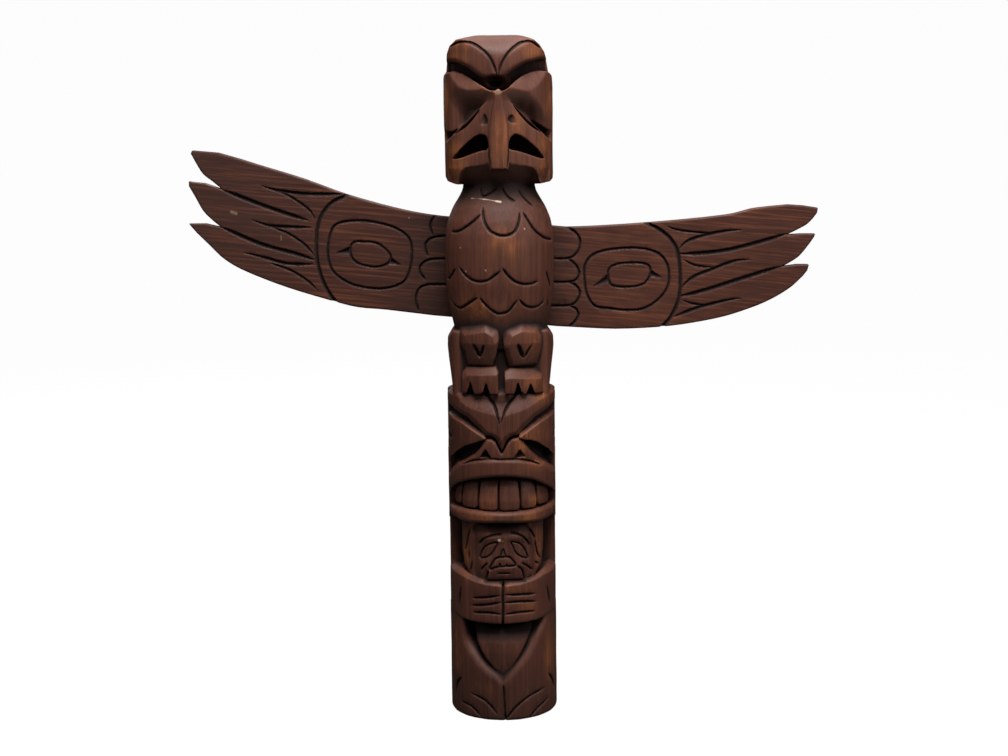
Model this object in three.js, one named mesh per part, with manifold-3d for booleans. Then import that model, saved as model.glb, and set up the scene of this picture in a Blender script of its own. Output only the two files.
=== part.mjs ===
// A carved cedar totem pole: an eagle with spread wings, sitting on a bear that holds a small figure.
// One round log carries all the carving. One board carries both wings, let into the planed back.
// Millimetres, +Z up, the figures look along -Y, and the origin is the centre of the underside.
import * as THREE from 'three';
import { mergeVertices } from 'three/addons/utils/BufferGeometryUtils.js';
import Module from 'manifold-3d';

const wasm = await Module();
wasm.setup();

// ---------------------------------------------------------------- driving dimensions
const POLE_HEIGHT = 430;
const LOG_RADIUS = 34.25;
const LOG_SIDES = 48;
const BACK_FLAT = 24; // from the log's axis to the planed back
const RIM_CHAMFER = 2.5; // worn edge around the foot
const GAP = 0.3; // clearance between the board and its notch

const BOARD_THICKNESS = 6.5;
const BOARD_TOP = 29.6; // above and below the board's own centre line, where it crosses the pole
const BOARD_BOTTOM = -34.6;
const BOARD_CENTRE_Z = 285;
const BOARD_TILT = THREE.MathUtils.degToRad(5.6);

// Where one figure ends and the next begins, from the foot up.
const HANDS_BOTTOM = 63.5;
const FACE_BOTTOM = 89;
const LIP_BOTTOM = 129;
const BEAR_TOP = 210;
const KNEE_TOP = 256.5;
const CHIN = 339;

// How deep the carver went, as radii about the log's axis.
const CORE = 25.5;
const TOOTH = LOG_RADIUS - 2.8;
const SOCKET = LOG_RADIUS - 6.5;
const FACE = LOG_RADIUS - 3.2;
const BELLY = LOG_RADIUS - 3;
const FAR = 45; // past the log on every side

// ---------------------------------------------------------------- solids

// A closed geometry as a solid for joining and cutting, turned right side out where it was mirrored.
function solid(geometry) {
  const bare = geometry.clone();
  for (const name of Object.keys(bare.attributes)) {
    if (name !== 'position') bare.deleteAttribute(name);
  }
  const merged = mergeVertices(bare, 1e-4);
  const position = merged.attributes.position;
  const index = Uint32Array.from(merged.index.array);
  const [a, b, c] = [new THREE.Vector3(), new THREE.Vector3(), new THREE.Vector3()];
  let volume = 0;
  for (let i = 0; i < index.length; i += 3) {
    a.fromBufferAttribute(position, index[i]);
    b.fromBufferAttribute(position, index[i + 1]);
    c.fromBufferAttribute(position, index[i + 2]);
    volume += a.dot(b.cross(c));
  }
  if (volume < 0) {
    for (let i = 0; i < index.length; i += 3) [index[i], index[i + 1]] = [index[i + 1], index[i]];
  }
  const vertProperties = new Float32Array(position.array);
  return new wasm.Manifold(new wasm.Mesh({ numProp: 3, vertProperties, triVerts: index }));
}

const join = (...solids) => solids.reduce((whole, next) => whole.add(next));
const overlap = (...solids) => solids.reduce((whole, next) => whole.intersect(next));
const cut = (whole, ...cutters) => cutters.reduce((rest, next) => rest.subtract(next), whole);

// Where two cuts cross, a chip of wood can come loose between them, and it falls away.
const withoutChips = (whole) => whole.decompose().sort((a, b) => b.volume() - a.volume())[0];

const shapeOf = (outline) => new THREE.Shape(outline.map(([x, y]) => new THREE.Vector2(x, y)));

// Points for the right-hand side, from the middle outwards, made whole by their mirror image.
function bothSides(half) {
  const left = half.filter(([x]) => x > 0).map(([x, z]) => [-x, z]).reverse();
  return [...half, ...left];
}
const mirrored = (points) => points.map(([x, z]) => [-x, z]);

// An outline seen from the front (x, z), sawn through from yFront to yBack.
function frontPrism(shape, yFront, yBack, curveSegments = 6) {
  const outline = Array.isArray(shape) ? shapeOf(shape) : shape;
  const options = { depth: yBack - yFront, bevelEnabled: false, curveSegments };
  const geometry = new THREE.ExtrudeGeometry(outline, options);
  geometry.rotateX(Math.PI / 2).translate(0, yBack, 0);
  return solid(geometry);
}

// An outline seen from the side (y, z), sawn through from x0 to x1.
function sidePrism(outline, x0 = -FAR, x1 = FAR) {
  const options = { depth: x1 - x0, bevelEnabled: false };
  const geometry = new THREE.ExtrudeGeometry(shapeOf(outline), options);
  const turn = new THREE.Matrix4().makeBasis(
    new THREE.Vector3(0, 1, 0),
    new THREE.Vector3(0, 0, 1),
    new THREE.Vector3(1, 0, 0),
  );
  geometry.applyMatrix4(turn).translate(x0, 0, 0);
  return solid(geometry);
}

// A turned form about the log's axis, from (radius, z) points that run upwards.
function turned(profile, sides = LOG_SIDES) {
  const points = [[0, profile[0][1]], ...profile, [0, profile.at(-1)[1]]];
  const geometry = new THREE.LatheGeometry(points.map(([r, z]) => new THREE.Vector2(r, z)), sides);
  geometry.rotateX(Math.PI / 2);
  return solid(geometry);
}

// The log pared down to one radius between two heights.
const round = (radius, z0, z1) => turned([[radius, z0], [radius, z1]]);

// A figure's outline raised from the core to a radius.
const relief = (outline, radius = LOG_RADIUS) => {
  const heights = outline.map(([, z]) => z);
  return overlap(
    frontPrism(outline, -FAR, 0),
    round(radius, Math.min(...heights) - 1, Math.max(...heights) + 1),
  );
};

// ---------------------------------------------------------------- knife cuts

// A V-shaped cut along a path on a surface. `surface` gives the point of the wood at the path's two
// coordinates. An open cut runs out to a point at both ends, as a knife leaves it. A closed one meets
// itself, as around an eye.
function knifeCut(path, surface, width, depth, closed = false) {
  const at = ([u, v]) => surface(u, v);
  const small = 0.2;
  const lift = 1.2;
  const spread = (width / 2) * (1 + lift / depth);
  const last = path.length - 1;
  const middle = path.map(at);
  const normals = path.map(([u, v]) => {
    const du = at([u + small, v]).sub(at([u - small, v]));
    const dv = at([u, v + small]).sub(at([u, v - small]));
    return du.cross(dv).normalize();
  });
  const position = [];
  const push = (point) => position.push(point.x, point.y, point.z);
  for (let i = 0; i <= last; i++) {
    const from = middle[closed ? (i + last) % (last + 1) : Math.max(i - 1, 0)];
    const to = middle[closed ? (i + 1) % (last + 1) : Math.min(i + 1, last)];
    const along = to.clone().sub(from).normalize();
    const side = along.clone().cross(normals[i]).normalize();
    const end = !closed && (i === 0 || i === last);
    const share = end ? 0.45 : 1;
    const inset = end ? (i === 0 ? width : -width) / 2 : 0;
    const centre = middle[i].clone().addScaledVector(along, inset);
    const top = centre.clone().addScaledVector(normals[i], lift);
    push(top.clone().addScaledVector(side, spread * share));
    push(top.clone().addScaledVector(side, -spread * share));
    push(centre.clone().addScaledVector(normals[i], -depth * share));
  }
  const index = [];
  const wall = (a, b) => {
    for (let k = 0; k < 3; k++) {
      const next = (k + 1) % 3;
      index.push(a + k, b + k, b + next, a + k, b + next, a + next);
    }
  };
  for (let i = 0; i < last; i++) wall(3 * i, 3 * i + 3);
  if (closed) {
    wall(3 * last, 0);
  } else {
    const tip = position.length / 3;
    push(middle[0].clone().addScaledVector(normals[0], lift));
    push(middle[last].clone().addScaledVector(normals[last], lift));
    const z = 3 * last;
    index.push(tip, 0, 1, tip, 1, 2, tip, 2, 0);
    index.push(tip + 1, z + 1, z, tip + 1, z + 2, z + 1, tip + 1, z, z + 2);
  }
  const geometry = new THREE.BufferGeometry();
  geometry.setAttribute('position', new THREE.Float32BufferAttribute(position, 3));
  geometry.setIndex(index);
  return solid(geometry);
}

// The log's surface by arc length from the front middle line and height, at a radius for each height.
const logSurface = (radiusAt) => (arc, z) => {
  const radius = radiusAt(z);
  const angle = arc / LOG_RADIUS;
  return new THREE.Vector3(radius * Math.sin(angle), -radius * Math.cos(angle), z);
};
const onLog = logSurface(() => LOG_RADIUS);
const logCuts = (paths, width, depth, surface = onLog) =>
  paths.map((path) => knifeCut(path, surface, width, depth));

// A point part of the way along a list of [z, value] steps.
function between(steps, z) {
  for (let i = 1; i < steps.length; i++) {
    const [z0, v0] = steps[i - 1];
    const [z1, v1] = steps[i];
    if (z <= z1) return v0 + ((v1 - v0) * Math.max(z - z0, 0)) / (z1 - z0);
  }
  return steps.at(-1)[1];
}

// ---------------------------------------------------------------- the eagle's head

// Seen from the side, the forehead rounds back to the crown.
const CROWN = [[417, -LOG_RADIUS], [424, -30.5], [428.5, -23], [POLE_HEIGHT, -17]]; // z, y

function eagleHead() {
  const front = bothSides([
    [0, POLE_HEIGHT], [16.5, POLE_HEIGHT], [25.5, 427.5], [30, 422.5], [31.8, 415],
    [31.8, 407.5], [LOG_RADIUS, 405], [LOG_RADIUS, 376], [33.4, 371], [33.4, 344.5], [22, CHIN], [0, CHIN],
  ]);
  const side = [
    [-FAR, CHIN], [-FAR, 417], ...CROWN.map(([z, y]) => [y, z]), [BACK_FLAT, POLE_HEIGHT], [BACK_FLAT, CHIN],
  ];
  const blank = overlap(round(LOG_RADIUS, CHIN, POLE_HEIGHT), frontPrism(front, -FAR, FAR), sidePrism(side));

  const brow = frontPrism(
    bothSides([[0, 403.5], [6, 405], [11, 410.5], [17.5, 413.5], [FAR, 415], [FAR, 440]]), -FAR, FAR);

  // The eyes are blunt wedges: a facet up to the brow and a darker one down to the beak.
  const eyeProfile = [[0, 411], [-26, 410], [-35, 397], [-35, 392.5], [-25.5, 371], [0, 371]];
  const eyeOutline = [[5.5, 396.5], [FAR, 411], [FAR, 371.5], [28.2, 371.5]];
  const eyes = join(...[eyeOutline, mirrored(eyeOutline)].map((outline) =>
    overlap(frontPrism(outline, -FAR, 0), sidePrism(eyeProfile))));

  // The beak spreads from a point under the brow to the full width of the jaw.
  const beakOutline = bothSides([[0, 399], [4.2, 393], [33.4, 364.5], [33.4, CHIN], [0, CHIN]]);
  const beakPlan = bothSides([[0, -33.2], [6, -33], [19, -28.4], [31, -15], [31, 0], [0, 0]]);
  const plan = new THREE.ExtrudeGeometry(shapeOf(beakPlan), { depth: POLE_HEIGHT, bevelEnabled: false });
  const jawSides = overlap(round(LOG_RADIUS, CHIN, 365), frontPrism(beakOutline, -15.5, 0));
  const beak = join(overlap(frontPrism(beakOutline, -FAR, 0), solid(plan)), jawSides);
  const ridge = frontPrism(bothSides([[0, 399.5], [1.2, 398], [4.6, 383], [5.9, 371], [5.7, 347], [0, 347]]),
    -FAR, 0);

  const skull = round(SOCKET, CHIN, POLE_HEIGHT);
  const behind = frontPrism([[-FAR, CHIN], [FAR, CHIN], [FAR, POLE_HEIGHT], [-FAR, POLE_HEIGHT]], -6, FAR);

  const pocket = [[-28, 356], [-18.5, 366.8], [-10, 371], [-6.6, 368.8], [-6.4, 361.6], [-15.6, 359]];
  const nostril = [[-10.6, 376.5], [-8.4, 382.8], [-6.6, 376.5]];
  const underChin = [[-FAR, 352], [-LOG_RADIUS, 350.5], [-21.5, 338.5], [-21.5, 330], [-FAR, 330]];

  const foreheadArc = [[0.4, 406.5], [3.5, 414], [8.5, 421], [15.5, 425.6], [24, 425.6], [34, 421.5]];
  const foreheadSurface = (arc, z) => {
    const point = onLog(arc, z);
    point.y = Math.max(point.y, between(CROWN, z));
    return point;
  };
  const underEye = [[5.5, 393.5], [19, 380.5], [33, 370.5]];
  return cut(
    overlap(blank, join(brow, eyes, beak, ridge, skull, behind)),
    frontPrism(pocket, -FAR, -19),
    frontPrism(mirrored(pocket), -FAR, -19),
    frontPrism(nostril, -FAR, -30),
    frontPrism(mirrored(nostril), -FAR, -30),
    sidePrism(underChin),
    ...logCuts([foreheadArc, mirrored(foreheadArc)], 1.7, 1.6, foreheadSurface),
    ...logCuts([underEye, mirrored(underEye)], 2.6, 6, logSurface(() => LOG_RADIUS - 1.5)),
  );
}

// ---------------------------------------------------------------- the eagle's breast

const BREAST = [
  [240, 27.5], [248, 29], [256, 30.8], [265, 33], [278, 34], [300, LOG_RADIUS], [310, 33.7],
  [318, 32.2], [325, 29.4], [331, 25.2], [335, 22.6], [341, 21.6],
]; // z, radius

function breast() {
  const body = turned(BREAST.map(([z, radius]) => [radius, z]));
  const surface = logSurface((z) => between(BREAST, z));
  // Rows of round feather tips. Each hangs between two points and is deepest at its middle.
  const scallop = (from, to, zEnds, sag) => {
    const steps = 5;
    return Array.from({ length: steps + 1 }, (_, i) => {
      const t = i / steps;
      return [from + (to - from) * t, zEnds - sag * (1 - (2 * t - 1) ** 2)];
    });
  };
  const feathers = [
    scallop(-28, -13.3, 322, 8), scallop(-12, 15, 322, 13), scallop(17.5, 44, 321, 12),
    scallop(-46, -31, 287, 6), scallop(-29, 0.6, 288.5, 8), scallop(1, 31, 288.5, 9),
    scallop(-42, -14.5, 271, 7), scallop(-13.6, 11.6, 270.5, 9.5), scallop(12.5, 34, 269.5, 6),
  ];
  const throat = [
    [[-20, 337], [-15, 332.6], [-9, 333.5], [-2, 337]],
    [[3, 338], [8, 333], [14, 330]],
    [[20, 336], [25, 330.5], [31, 326.5]],
  ];
  return cut(body, ...logCuts([...feathers, ...throat], 1.6, 1.5, surface));
}

// ---------------------------------------------------------------- the eagle's legs and claws

function eagleLegs() {
  const legOutline = [
    [2.4, 236], [2.6, 251], [8.2, KNEE_TOP], [22.5, KNEE_TOP], [26.6, 251.5], [26.4, 241], [22.5, 227], [5, 227],
  ];
  const legProfile = [[0, 258], [-28.5, KNEE_TOP], [-34, 249.5], [-33.4, 240], [-29, 227], [0, 227]];
  const footOutline = [[3, BEAR_TOP], [3.2, 226.5], [23.6, 226.5], [24.4, BEAR_TOP]];
  const footProfile = [[0, 227], [-29.8, 226.5], [-34, 222.5], [-34, BEAR_TOP], [0, BEAR_TOP]];
  const haunches = bothSides([[0, BEAR_TOP], [31, BEAR_TOP], [33.4, 243], [29.8, 248.5], [0, 250]]);

  const log = round(LOG_RADIUS, BEAR_TOP - 1, 260);
  const toeNotch = (x) => frontPrism([[x - 3, 211], [x + 0.2, 217.5], [x + 3.2, 211]], -FAR, -24.5);
  const mark = [[10.6, 241.8], [14.6, 233.8], [19.6, 241.8]];
  const core = round(CORE - 1, BEAR_TOP - 4, 245);
  const side = (flip) => cut(
    join(
      overlap(log, frontPrism(flip(legOutline), -FAR, 0), sidePrism(legProfile)),
      overlap(log, frontPrism(flip(footOutline), -FAR, 0), sidePrism(footProfile)),
    ),
    ...[9.4, 18.6].map((x) => toeNotch(flip([[x, 0]])[0][0])),
    ...logCuts([flip(mark)], 1.7, 1.6, logSurface(() => LOG_RADIUS - 0.8)),
  );
  return join(core, overlap(log, frontPrism(haunches, -15, FAR)), side((points) => points), side(mirrored));
}

// ---------------------------------------------------------------- the bear's face

function bearHead() {
  const log = round(LOG_RADIUS, LIP_BOTTOM - 1, BEAR_TOP + 0.5);
  const posts = overlap(log, frontPrism(
    [[-FAR, LIP_BOTTOM], [FAR, LIP_BOTTOM], [FAR, BEAR_TOP], [-FAR, BEAR_TOP]], -7, FAR));
  const sockets = round(SOCKET - 1, LIP_BOTTOM, BEAR_TOP);

  // The brow is a broad V, with its top worn back to a shelf for the claws.
  const browOutline = bothSides([
    [0, 176.5], [5, 182.5], [12.8, 185.5], [31, 196.5], [FAR, 197.5], [FAR, BEAR_TOP], [0, BEAR_TOP],
  ]);
  const browProfile = [[0, BEAR_TOP], [-28.5, BEAR_TOP], [-34.6, 202.5], [-34.6, 170], [0, 170]];
  const brow = overlap(log, frontPrism(browOutline, -FAR, 0), sidePrism(browProfile));

  const eyeOutline = [[11.5, 182], [FAR, 194.5], [FAR, 176.5], [31, 177.5]];
  const eyes = join(relief(eyeOutline, LOG_RADIUS - 0.8), relief(mirrored(eyeOutline), LOG_RADIUS - 0.8));

  const snout = relief(bothSides([
    [0, 175], [2.6, 177.2], [5, 181.5], [10.6, 182.6], [15, 179], [27, 165.5], [27, 160], [0, 160],
  ]), LOG_RADIUS - 1);

  const upperLip = relief(bothSides([
    [0, 158.8], [15, 157.2], [25, 153.2], [32.6, 146], [FAR, 144], [FAR, 158], [32.4, 156.5], [26.4, 165.2],
    [15, 168.6], [0, 169.6],
  ]));
  const lowerLip = relief(bothSides([
    [0, LIP_BOTTOM], [16, 128.7], [28, 129.6], [FAR, 134.5], [FAR, 141], [32.5, 139], [25, 137], [14, 135.7],
    [0, 135.6],
  ]));
  const teeth = relief(bothSides([[0, 133], [FAR, 133], [FAR, 157], [0, 161]]), TOOTH);

  // Six teeth: the middle gap and two to each side, narrowing outwards.
  const toothGap = (arc) => knifeCut([[arc, 160], [arc, 147], [arc, 134]],
    logSurface(() => TOOTH), 1.4, 1.6);
  const nostril = [[7.3, 171.3], [10.6, 176.2], [14.4, 171.3]];
  const foreheadArc = [[0.6, 193.5], [3.2, 201], [6.6, 206], [11.5, 209.4]];
  const lipLine = [[-26, 165.8], [-13, 169], [0, 170], [13, 169], [26, 165.8]];
  const noseLine = [[10.8, 183.6], [5.2, 182.6], [2.4, 177.4], [0.2, 173]];
  const socketCorner = [[FAR, 188], [31.2, 183.8], [FAR, 179.5]];
  return cut(
    join(posts, sockets, brow, eyes, snout, upperLip, lowerLip, teeth),
    ...[-26, -14, 0, 13, 25].map(toothGap),
    frontPrism(nostril, -FAR, -29),
    frontPrism(mirrored(nostril), -FAR, -29),
    frontPrism(socketCorner, -FAR, -8),
    frontPrism(mirrored(socketCorner), -FAR, -8),
    ...logCuts([foreheadArc, mirrored(foreheadArc)], 1.8, 1.7,
      logSurface((z) => LOG_RADIUS - Math.max(z - 202.5, 0) * 0.8)),
    ...logCuts([lipLine, noseLine, mirrored(noseLine)], 1.5, 1.8),
  );
}

// ---------------------------------------------------------------- the small figure in its arms

function smallFigure() {
  const log = round(LOG_RADIUS, 0, LIP_BOTTOM + 1);
  const posts = overlap(log, frontPrism(
    [[-FAR, HANDS_BOTTOM], [FAR, HANDS_BOTTOM], [FAR, LIP_BOTTOM], [-FAR, LIP_BOTTOM]], -7, FAR));
  const core = round(CORE - 1, HANDS_BOTTOM - 10, LIP_BOTTOM);

  const headOutline = bothSides([[0, 88], [17, 88], [21, 93.5], [25.4, 102], [25.6, LIP_BOTTOM], [0, LIP_BOTTOM]]);
  const headProfile = [
    [0, 130], [-23.5, 130], [-FACE, 121], [-FACE - 0.3, 104], [-FACE + 1, 88], [0, 88],
  ];
  const head = overlap(round(FACE, 87, 130), frontPrism(headOutline, -FAR, 0), sidePrism(headProfile));

  const faceSurface = logSurface((z) => Math.min(FACE, FACE - (z - 121) * 0.8));
  const oneSide = [
    [[1.5, 121.6], [7, 122], [12.5, 120.4], [18, 114]], // brow
    [[20.4, 125.5], [24.5, 119], [27.5, 108]], // hair
    [[21.5, 115], [24.6, 107.5], [25, 103]],
    [[13.5, 104.5], [20, 99.5]], // cheek
    [[4.6, 107], [9.2, 100.8]], // upper lip
    [[9.2, 100.8], [11.6, 97], [13.4, 92]], // fold down to the chin
  ];
  const middle = [
    [[-4.8, 106.6], [0, 107.8], [4.8, 106.6]],
    [[-9, 100.3], [-3, 101.8], [3, 101.8], [9, 100.3]],
    [[-4.3, 96.2], [4.3, 96.2]],
    [[-12.5, 92], [0, 91.4], [12.5, 92]],
    [[-2.4, 107.5], [0, 113.2], [2.4, 107.5]],
  ];
  const almond = [[4.5, 115.6], [9.5, 115.4], [14, 112], [16.8, 106.8], [11.5, 107.2], [7.5, 110.4]];
  const faceLines = [...oneSide, ...oneSide.map(mirrored), ...middle];

  const arms = relief(bothSides([
    [0, HANDS_BOTTOM], [16, HANDS_BOTTOM], [28.5, 65], [33.4, 70.5], [FAR, 71], [FAR, 97], [33, 95.6],
    [20, 93.4], [14.5, 91.2], [0, FACE_BOTTOM + 0.6],
  ]));
  const fingers = [82, 76.8, 70.6].map((z) => [[2, z - 0.4], [12, z], [22.6, z]]);
  const betweenHands = frontPrism([[-1, 60], [1.2, 60], [1.5, 92], [-1.3, 92]], -FAR, -30.6);
  const cuff = [[35.5, 88], [38.5, 79]];

  // The bear's thighs close around a shield-shaped belly.
  const thighs = overlap(log, frontPrism([[-FAR, 0], [FAR, 0], [FAR, 66], [-FAR, 66]], -FAR, FAR));
  const hollow = frontPrism(bothSides([[0, 24], [9.8, 33], [18, 44], [20.4, 54], [26, HANDS_BOTTOM], [0, HANDS_BOTTOM]]),
    -FAR, -10);
  const belly = overlap(
    relief(bothSides([[0, 31.5], [4, 33], [12, 41.5], [16.8, 51.5], [15.8, 66], [0, 66]]), BELLY),
    sidePrism([[0, 20], [-30.5, 30], [-BELLY, 50], [-27, HANDS_BOTTOM], [0, HANDS_BOTTOM]]),
  );
  const hollowFloor = round(CORE + 1, 0, 66);

  const toes = [
    [[4.6, 3.5], [7.4, 9], [13, 14], [19, 16.4], [28, 17]],
    [[17.4, 2.5], [24.5, 8], [32.8, 10]],
    [[38, 26], [42.5, 19]],
  ];
  return cut(
    join(posts, core, head, arms, cut(thighs, hollow), belly, hollowFloor),
    betweenHands,
    ...logCuts(faceLines, 1.1, 1, faceSurface),
    knifeCut(almond, faceSurface, 1.1, 1, true),
    knifeCut(mirrored(almond), faceSurface, 1.1, 1, true),
    ...logCuts([...fingers, ...fingers.map(mirrored), cuff, mirrored(cuff)], 1.5, 1.6),
    ...logCuts([...toes, ...toes.map(mirrored)], 1.6, 1.8),
    ...logCuts([[[0, 26], [0, 12], [0, -2]]], 2, 2.6),
  );
}

// ---------------------------------------------------------------- the whole pole

const boardPlace = new THREE.Matrix4()
  .makeTranslation(0, BACK_FLAT - GAP, BOARD_CENTRE_Z)
  .multiply(new THREE.Matrix4().makeRotationY(BOARD_TILT));

function boardNotch() {
  const width = 2 * FAR;
  const height = BOARD_TOP - BOARD_BOTTOM + 2 * GAP;
  const depth = BOARD_THICKNESS + GAP;
  const geometry = new THREE.BoxGeometry(width, depth + FAR, height);
  geometry.translate(0, (FAR - depth) / 2 - depth / 2, (BOARD_TOP + BOARD_BOTTOM) / 2);
  return solid(geometry.applyMatrix4(boardPlace));
}

function pole() {
  const planedBack = frontPrism([[-FAR, 0], [FAR, 0], [FAR, POLE_HEIGHT], [-FAR, POLE_HEIGHT]], -FAR, BACK_FLAT);
  const foot = turned([
    [LOG_RADIUS - RIM_CHAMFER, 0], [LOG_RADIUS, RIM_CHAMFER], [LOG_RADIUS, POLE_HEIGHT],
  ]);
  const carving = join(smallFigure(), bearHead(), eagleLegs(), breast(), eagleHead());
  return withoutChips(cut(overlap(carving, foot, planedBack), boardNotch()));
}

// ---------------------------------------------------------------- the wings

function wingBoard() {
  // One wing's outline, in the board's own frame: three long feathers, each ending in a point.
  const straight = 40; // the board runs level behind the pole
  const wing = new THREE.Shape();
  wing.moveTo(-5, BOARD_BOTTOM);
  wing.lineTo(straight, BOARD_BOTTOM);
  wing.splineThru([[80, -32.6], [110, -29], [140, -21.5], [162, -13.5], [183, -2.5]].map(
    ([x, z]) => new THREE.Vector2(x, z)));
  wing.quadraticCurveTo(190.5, 4, 199, 15.5);
  wing.lineTo(179.5, 13.5);
  wing.quadraticCurveTo(191, 21.5, 200.3, 38.3);
  wing.lineTo(181, 35.6);
  wing.quadraticCurveTo(192.5, 43, 201, 56.2);
  wing.lineTo(182, 56.8);
  wing.splineThru([[160, 52], [133, 44.5], [105, 38.6], [75, 33.4], [straight, BOARD_TOP]].map(
    ([x, z]) => new THREE.Vector2(x, z)));
  wing.lineTo(-5, BOARD_TOP);

  const right = frontPrism(wing, -BOARD_THICKNESS, 0, 3);
  const leftShape = new THREE.Shape(wing.getPoints(3).map((point) => new THREE.Vector2(-point.x, point.y)));
  const left = frontPrism(leftShape, -BOARD_THICKNESS, 0);

  const face = (x, z) => new THREE.Vector3(x, -BOARD_THICKNESS, z);

  // An oval set a little higher at its inner end, as points around it.
  const ovoid = (cx, cz, halfWidth, halfHeight, steps) => Array.from({ length: steps }, (_, i) => {
    const angle = (2 * Math.PI * (i + 0.5)) / steps;
    const square = 0.62; // between a circle and a rectangle
    const x = Math.sign(Math.cos(angle)) * Math.abs(Math.cos(angle)) ** square;
    const z = Math.sign(Math.sin(angle)) * Math.abs(Math.sin(angle)) ** square;
    return [cx + halfWidth * x, cz + halfHeight * z];
  });

  const arcAtFeathers = [
    [90, 36.5], [102, 32], [111, 23.5], [116, 10], [117, -6], [113.5, -18.5], [105, -30],
  ];
  // Between the feathers a long cut from each notch, and in each feather a split with a swept branch.
  const splits = [
    [[180.4, 35.5], [158, 28], [136, 21.8], [114, 18.4]],
    [[179, 13.6], [156, 5.4], [136, -1], [117.5, -7]],
  ];
  const feather = (dx, dz) => [
    [[158 + dx, 38.5 + dz], [144 + dx, 36 + dz], [126, 34.6 + dz], [108, 36.5 + dz]],
    [[148 + dx, 36.6 + dz], [132, 32 + dz], [121, 25.5 + dz * 1.1], [117, 20 + dz * 1.1]],
  ];
  const feathers = [...feather(0, 0), ...feather(3, -21.5), ...feather(3, -43)];
  const rootFeather = (x, z, reach, half) => [
    [x, z + half], [x + reach * 0.7, z + half * 0.75], [x + reach, z], [x + reach * 0.7, z - half * 0.8],
    [x, z - half],
  ];
  const roots = [
    rootFeather(34, 20, 15, 9), rootFeather(34, 2, 16, 8), rootFeather(34, -14, 17.5, 8),
    rootFeather(34, -30, 18, 7),
  ];
  const corners = [[[95.6, 6], [104.5, 1.8], [95.4, -1]], [[70.4, 1], [62, -5.5], [74, -6.8]]];

  const cuts = [];
  for (const flip of [(points) => points, mirrored]) {
    for (const path of [arcAtFeathers, ...splits, ...feathers]) {
      cuts.push(knifeCut(flip(path), face, 1.7, 1.3));
    }
    for (const path of roots) cuts.push(knifeCut(flip(path), face, 1.5, 1.2));
    cuts.push(knifeCut(flip(ovoid(82.5, 0.6, 26.8, 20.4, 16)), face, 1.6, 1.3, true));
    cuts.push(knifeCut(flip(ovoid(83, 1.8, 13.2, 8, 12)), face, 1.2, 1, true));
    for (const corner of corners) cuts.push(frontPrism(flip(corner), -FAR, -BOARD_THICKNESS + 1.3));
  }
  return withoutChips(cut(join(right, left), ...cuts));
}

// ---------------------------------------------------------------- scene graph

function piece(name, whole, colour, roughness) {
  const mesh = whole.getMesh();
  const geometry = new THREE.BufferGeometry();
  geometry.setAttribute('position', new THREE.BufferAttribute(mesh.vertProperties, 3));
  geometry.setIndex(new THREE.BufferAttribute(mesh.triVerts, 1));
  geometry.computeVertexNormals();
  const material = new THREE.MeshStandardMaterial({ color: colour, roughness, metalness: 0, flatShading: true });
  const object = new THREE.Mesh(geometry, material);
  object.name = name;
  return object;
}

const totemPole = new THREE.Group();
totemPole.add(piece('pole', pole(), 0x6a3d2c, 0.5));

const wings = piece('wing_board', wingBoard(), 0x5f3529, 0.55);
wings.position.setFromMatrixPosition(boardPlace);
wings.rotation.setFromRotationMatrix(boardPlace);
totemPole.add(wings);

export default totemPole;
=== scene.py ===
# %% [markdown]
# # A carved cedar totem pole
# The real object is a cedar log about as long as a forearm. A carver cut an eagle, a bear and a small
# figure into its front with knives and gouges, and let one board, carved as both wings, into its planed
# back. Here the two wooden pieces are sculpted by the same rules, and then stained, worn and lit.

# %% Load the frame that everything is built in
import math

import bpy
import numpy as np
import openvdb
from mathutils import Matrix, Vector


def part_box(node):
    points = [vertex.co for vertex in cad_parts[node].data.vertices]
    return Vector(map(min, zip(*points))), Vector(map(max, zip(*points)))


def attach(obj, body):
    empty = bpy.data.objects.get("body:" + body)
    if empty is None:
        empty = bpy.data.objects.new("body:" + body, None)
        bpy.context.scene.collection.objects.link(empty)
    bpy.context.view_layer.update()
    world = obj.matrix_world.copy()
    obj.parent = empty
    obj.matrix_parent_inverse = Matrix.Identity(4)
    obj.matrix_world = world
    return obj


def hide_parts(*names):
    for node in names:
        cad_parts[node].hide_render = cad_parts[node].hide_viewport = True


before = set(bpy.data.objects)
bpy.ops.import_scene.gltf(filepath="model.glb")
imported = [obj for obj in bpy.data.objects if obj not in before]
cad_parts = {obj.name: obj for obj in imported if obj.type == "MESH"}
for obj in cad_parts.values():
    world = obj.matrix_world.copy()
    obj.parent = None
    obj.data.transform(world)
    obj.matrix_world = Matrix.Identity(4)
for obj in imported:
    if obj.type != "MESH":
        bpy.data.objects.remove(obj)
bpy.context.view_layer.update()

# %% [markdown]
# ## The sizes that drive the rest
# A carver starts from the log, so the log's radius, its height and the planed back are read from the
# frame. Heights of the figures are marked up from the foot, as on a real blank. Sculpting is done in
# millimetres, because knife work is thought of in millimetres, and scaled to metres at the end.

# %% Read the log and the board from the frame
MM = 0.001
pole_low, pole_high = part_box("pole")
board_low, board_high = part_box("wing_board")

LOG = (pole_high.x - pole_low.x) / 2 / MM
HEIGHT = pole_high.z / MM
BACK = pole_high.y / MM
BOARD_FRONT = board_low.y / MM
BOARD_THICK = (board_high.y - board_low.y) / MM
BOARD_TILT = math.radians(5.6)
BOARD_MIDDLE = 285.0  # height of the board's middle line at the log's axis

HANDS = 63.5  # underside of the hands
ARMS_TOP = 97.0
LIP = 129.0  # underside of the bear's lower lip
BEAR_TOP = 210.0
KNEES = 256.5
CHIN = HEIGHT - 91.0

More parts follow.
